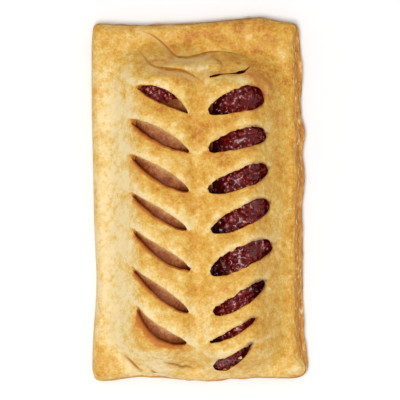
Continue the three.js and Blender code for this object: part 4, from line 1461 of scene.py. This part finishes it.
def mark_sauce(made):
    """Painted shade: dark at the inner ends of the slits, where the sauce lies low beside the spine under
    the lid's shadow.
    """
    x, y = in_photo_frame(made).T[:2]
    deep = np.zeros(len(x))
    for slit in SAUCE_SLITS:
        off, half, clear, t = beside_slit(dict(slit, **OVER_SAUCE), x, y)
        inner = t if slit["widths"][1] > slit["widths"][0] else 1 - t
        here = clear < 1.0
        deep[here] = (1 - smooth(0.12, 0.38, inner))[here]
    store(made, "deep", deep)


sauce = grow_sauce(ridge)
mark_sauce(sauce)
print("sauce:", face_count(sauce), "triangles, sides in mm:", sides_in_mm(sauce))

# %% [markdown]
# ## Flakes
#
# Puff pastry sheds thin curled flakes, mostly where it was cut. They are scattered by Geometry Nodes over a
# copy of the crust, more densely where its flaky attribute is high, and each is one small bent plate, so a
# few hundred of them stay light.

# %% Scattering flakes
def grow_flakes(start):
    graph = new_growth("flakes")
    graph.tree.interface.new_socket("Crust", in_out="INPUT", socket_type="NodeSocketGeometry")
    base = Wire(graph, graph.start.outputs["Crust"])
    spacing = size_input(graph, "Flake Spacing", 1.6 * MM)
    size = size_input(graph, "Flake Size", 3.4 * MM)
    curl = size_input(graph, "Curl", 0.35)
    seed = size_input(graph, "Seed", 5, "NodeSocketInt")
    flaky = graph.node("GeometryNodeInputNamedAttribute", {"data_type": "FLOAT"}, {
        "Name": "flaky"}, "Attribute")
    spots = graph.node("GeometryNodeDistributePointsOnFaces", {"distribute_method": "POISSON"}, {
        "Mesh": base, "Distance Min": spacing, "Density Max": 260000.0,
        "Density Factor": flaky * flaky * 0.25, "Seed": seed}, "Points")
    plate = graph.node("GeometryNodeMeshCube", {}, {
        "Size": (0.22, 1.0, 0.04), "Vertices X": 3, "Vertices Y": 7, "Vertices Z": 2}, "Mesh")
    place = graph.node("GeometryNodeInputPosition")
    x, y, z = axes(graph, place)
    ragged = graph.node("ShaderNodeTexNoise", values={"Vector": place, "Scale": 2.3}, output="Fac")
    bent = vector(graph, x * (0.4 + ragged * 1.2), y, z + curl * x * x + (ragged - 0.5) * 0.2)
    plate = graph.node("GeometryNodeSetPosition", values={"Geometry": plate, "Position": bent})
    turn = chance(graph, (-0.12, -0.25, -0.2), (0.12, 0.25, 0.2), seed + 1)
    scale = chance(graph, 0.35, 1.0, seed + 2)
    flakes = graph.node("GeometryNodeInstanceOnPoints", values={
        "Points": spots, "Instance": plate, "Rotation": turn, "Scale": size * scale})
    finish_growth(graph, flakes, flake_material)
    return grown("pastry_flakes", graph, start)


def flake_finish():
    finish = Finish("pastry_flakes", Roughness=0.6, Specular_IOR_Level=0.4)
    tone = finish.grain(0.003, 2.0, 0.6)
    finish.set(Base_Color=finish.ramp(tone, [(0.35, (0.58, 0.30, 0.08)), (0.65, (0.76, 0.50, 0.21))]))
    finish.set(Normal=finish.bumps(finish.grain(0.0004, 2.0), 0.0002))
    return finish.material


def copy_of(made, name):
    twin = bpy.data.objects.new(name, made.data.copy())
    bpy.context.scene.collection.objects.link(twin)
    return twin


flake_material = flake_finish()
flakes = grow_flakes(copy_of(crust, "crust_copy"))
print("flakes:", face_count(flakes), "triangles")

# %% [markdown]
# ## The crumb in the last slit
#
# One crumb of crust fell on the sauce in the slit nearest the near end. It is a small torn plate, made from
# a few listed corners, because there is only one of it.

# %% One torn crumb
CRUMB_CORNERS = [(16.0, -67.2), (17.2, -66.8), (17.9, -65.8), (18.8, -67.7), (17.3, -67.8)]
CRUMB_RISES = (0.3, 0.9, 0.2, -0.2, 0.1)
CRUMB_THICKNESS = 0.5


def torn_crumb():
    corners = np.array(CRUMB_CORNERS)
    heights = pastry_top(corners[:, 0], corners[:, 1]) + np.array(CRUMB_RISES)
    middle = corners.mean(axis=0)
    lower = np.column_stack((mix(corners, middle, 0.2), heights - CRUMB_THICKNESS))
    upper = np.column_stack((corners, heights))
    crest = np.column_stack((mix(corners, middle, 0.5), heights + 0.15))
    made = loft_object("crumb_in_slit", [lower, upper, crest])
    rounding = made.modifiers.new("soft_edges", "SUBSURF")
    rounding.levels = rounding.render_levels = 2
    flatten(made)
    made.data.materials.append(flake_material)
    return made


crumb = torn_crumb()
print("crumb:", face_count(crumb), "triangles")

# %% [markdown]
# ## Placing the pieces in the frame
#
# Each detailed piece stands for its CAD solid, which is hidden, and rides on the roll's one body; its finish
# was set when it was made.

# %% Replace the solids
for piece, node in ((crust, "pastry"), (sausage, "frikandel"), (sauce, "curry_sauce")):
    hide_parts(node)
    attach(piece, "root")
for piece in (flakes, crumb):
    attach(piece, "root")
print("pieces:", [piece.name for piece in (crust, sausage, sauce, flakes, crumb)])

# %% [markdown]
# ## Floor, light and camera
#
# A pale floor, a soft white surround and one large lamp to the left give the light of a plain studio shot.
# The camera looks straight down from far away through a long lens, so the slits keep their drawn places.

# %% The studio
FLOOR_SIDE = 3.0
FLOOR_DROP = 0.01
WORLD_STRENGTH = 0.55
LAMP = {"place": (-0.14, -0.2, 1.2), "side": 0.45, "watts": 10.3}
CAMERA_HEIGHT = 4.0
SENSOR_WIDTH = 36.0
VIEW_WIDTH = IMAGE_SIDE * PIXEL * MM
VIEW_MIDDLE = (0.05 * MM, -0.3 * MM)


def studio_floor():
    half = FLOOR_SIDE / 2 / MM
    corners = [(x * half, y * half, -FLOOR_DROP) for x, y in ((-1, -1), (1, -1), (1, 1), (-1, 1))]
    made = mesh_object("studio_floor", corners, [(0, 1, 2, 3)])
    finish = Finish("studio_floor", Roughness=0.9, Specular_IOR_Level=0.1)
    paper = finish.grain(0.4, 2.0)
    finish.set(Base_Color=finish.tint((0.86, 0.86, 0.86), (0.88, 0.88, 0.88), paper))
    made.data.materials.append(finish.material)
    return made


def studio_world(strength):
    world = bpy.data.worlds.new("studio")
    bpy.context.scene.world = world
    world.use_nodes = True
    world.node_tree.nodes["Background"].inputs["Color"].default_value = (1, 1, 1, 1)
    world.node_tree.nodes["Background"].inputs["Strength"].default_value = strength


def soft_lamp(name, place, side, watts):
    """A square lamp that points at the roll."""
    lamp = bpy.data.lights.new(name, "AREA")
    lamp.shape = "SQUARE"
    lamp.size = side
    lamp.energy = watts
    made = bpy.data.objects.new(name, lamp)
    made.location = place
    made.rotation_euler = (-Vector(place)).to_track_quat("-Z", "Y").to_euler()
    bpy.context.scene.collection.objects.link(made)


def overhead_camera():
    lens = bpy.data.cameras.new("overhead")
    lens.type = "PERSP"
    lens.sensor_width = SENSOR_WIDTH
    lens.lens = SENSOR_WIDTH * (CAMERA_HEIGHT - RIM_HEIGHT * MM) / VIEW_WIDTH
    lens.clip_end = 20.0
    made = bpy.data.objects.new("overhead", lens)
    made.location = (VIEW_MIDDLE[0], VIEW_MIDDLE[1], CAMERA_HEIGHT)
    bpy.context.scene.collection.objects.link(made)
    bpy.context.scene.camera = made
    return made


studio_floor()
studio_world(WORLD_STRENGTH)
soft_lamp("key", **LAMP)
camera = overhead_camera()
bpy.context.scene.view_settings.view_transform = "Standard"
print("lens in mm:", round(camera.data.lens, 1))
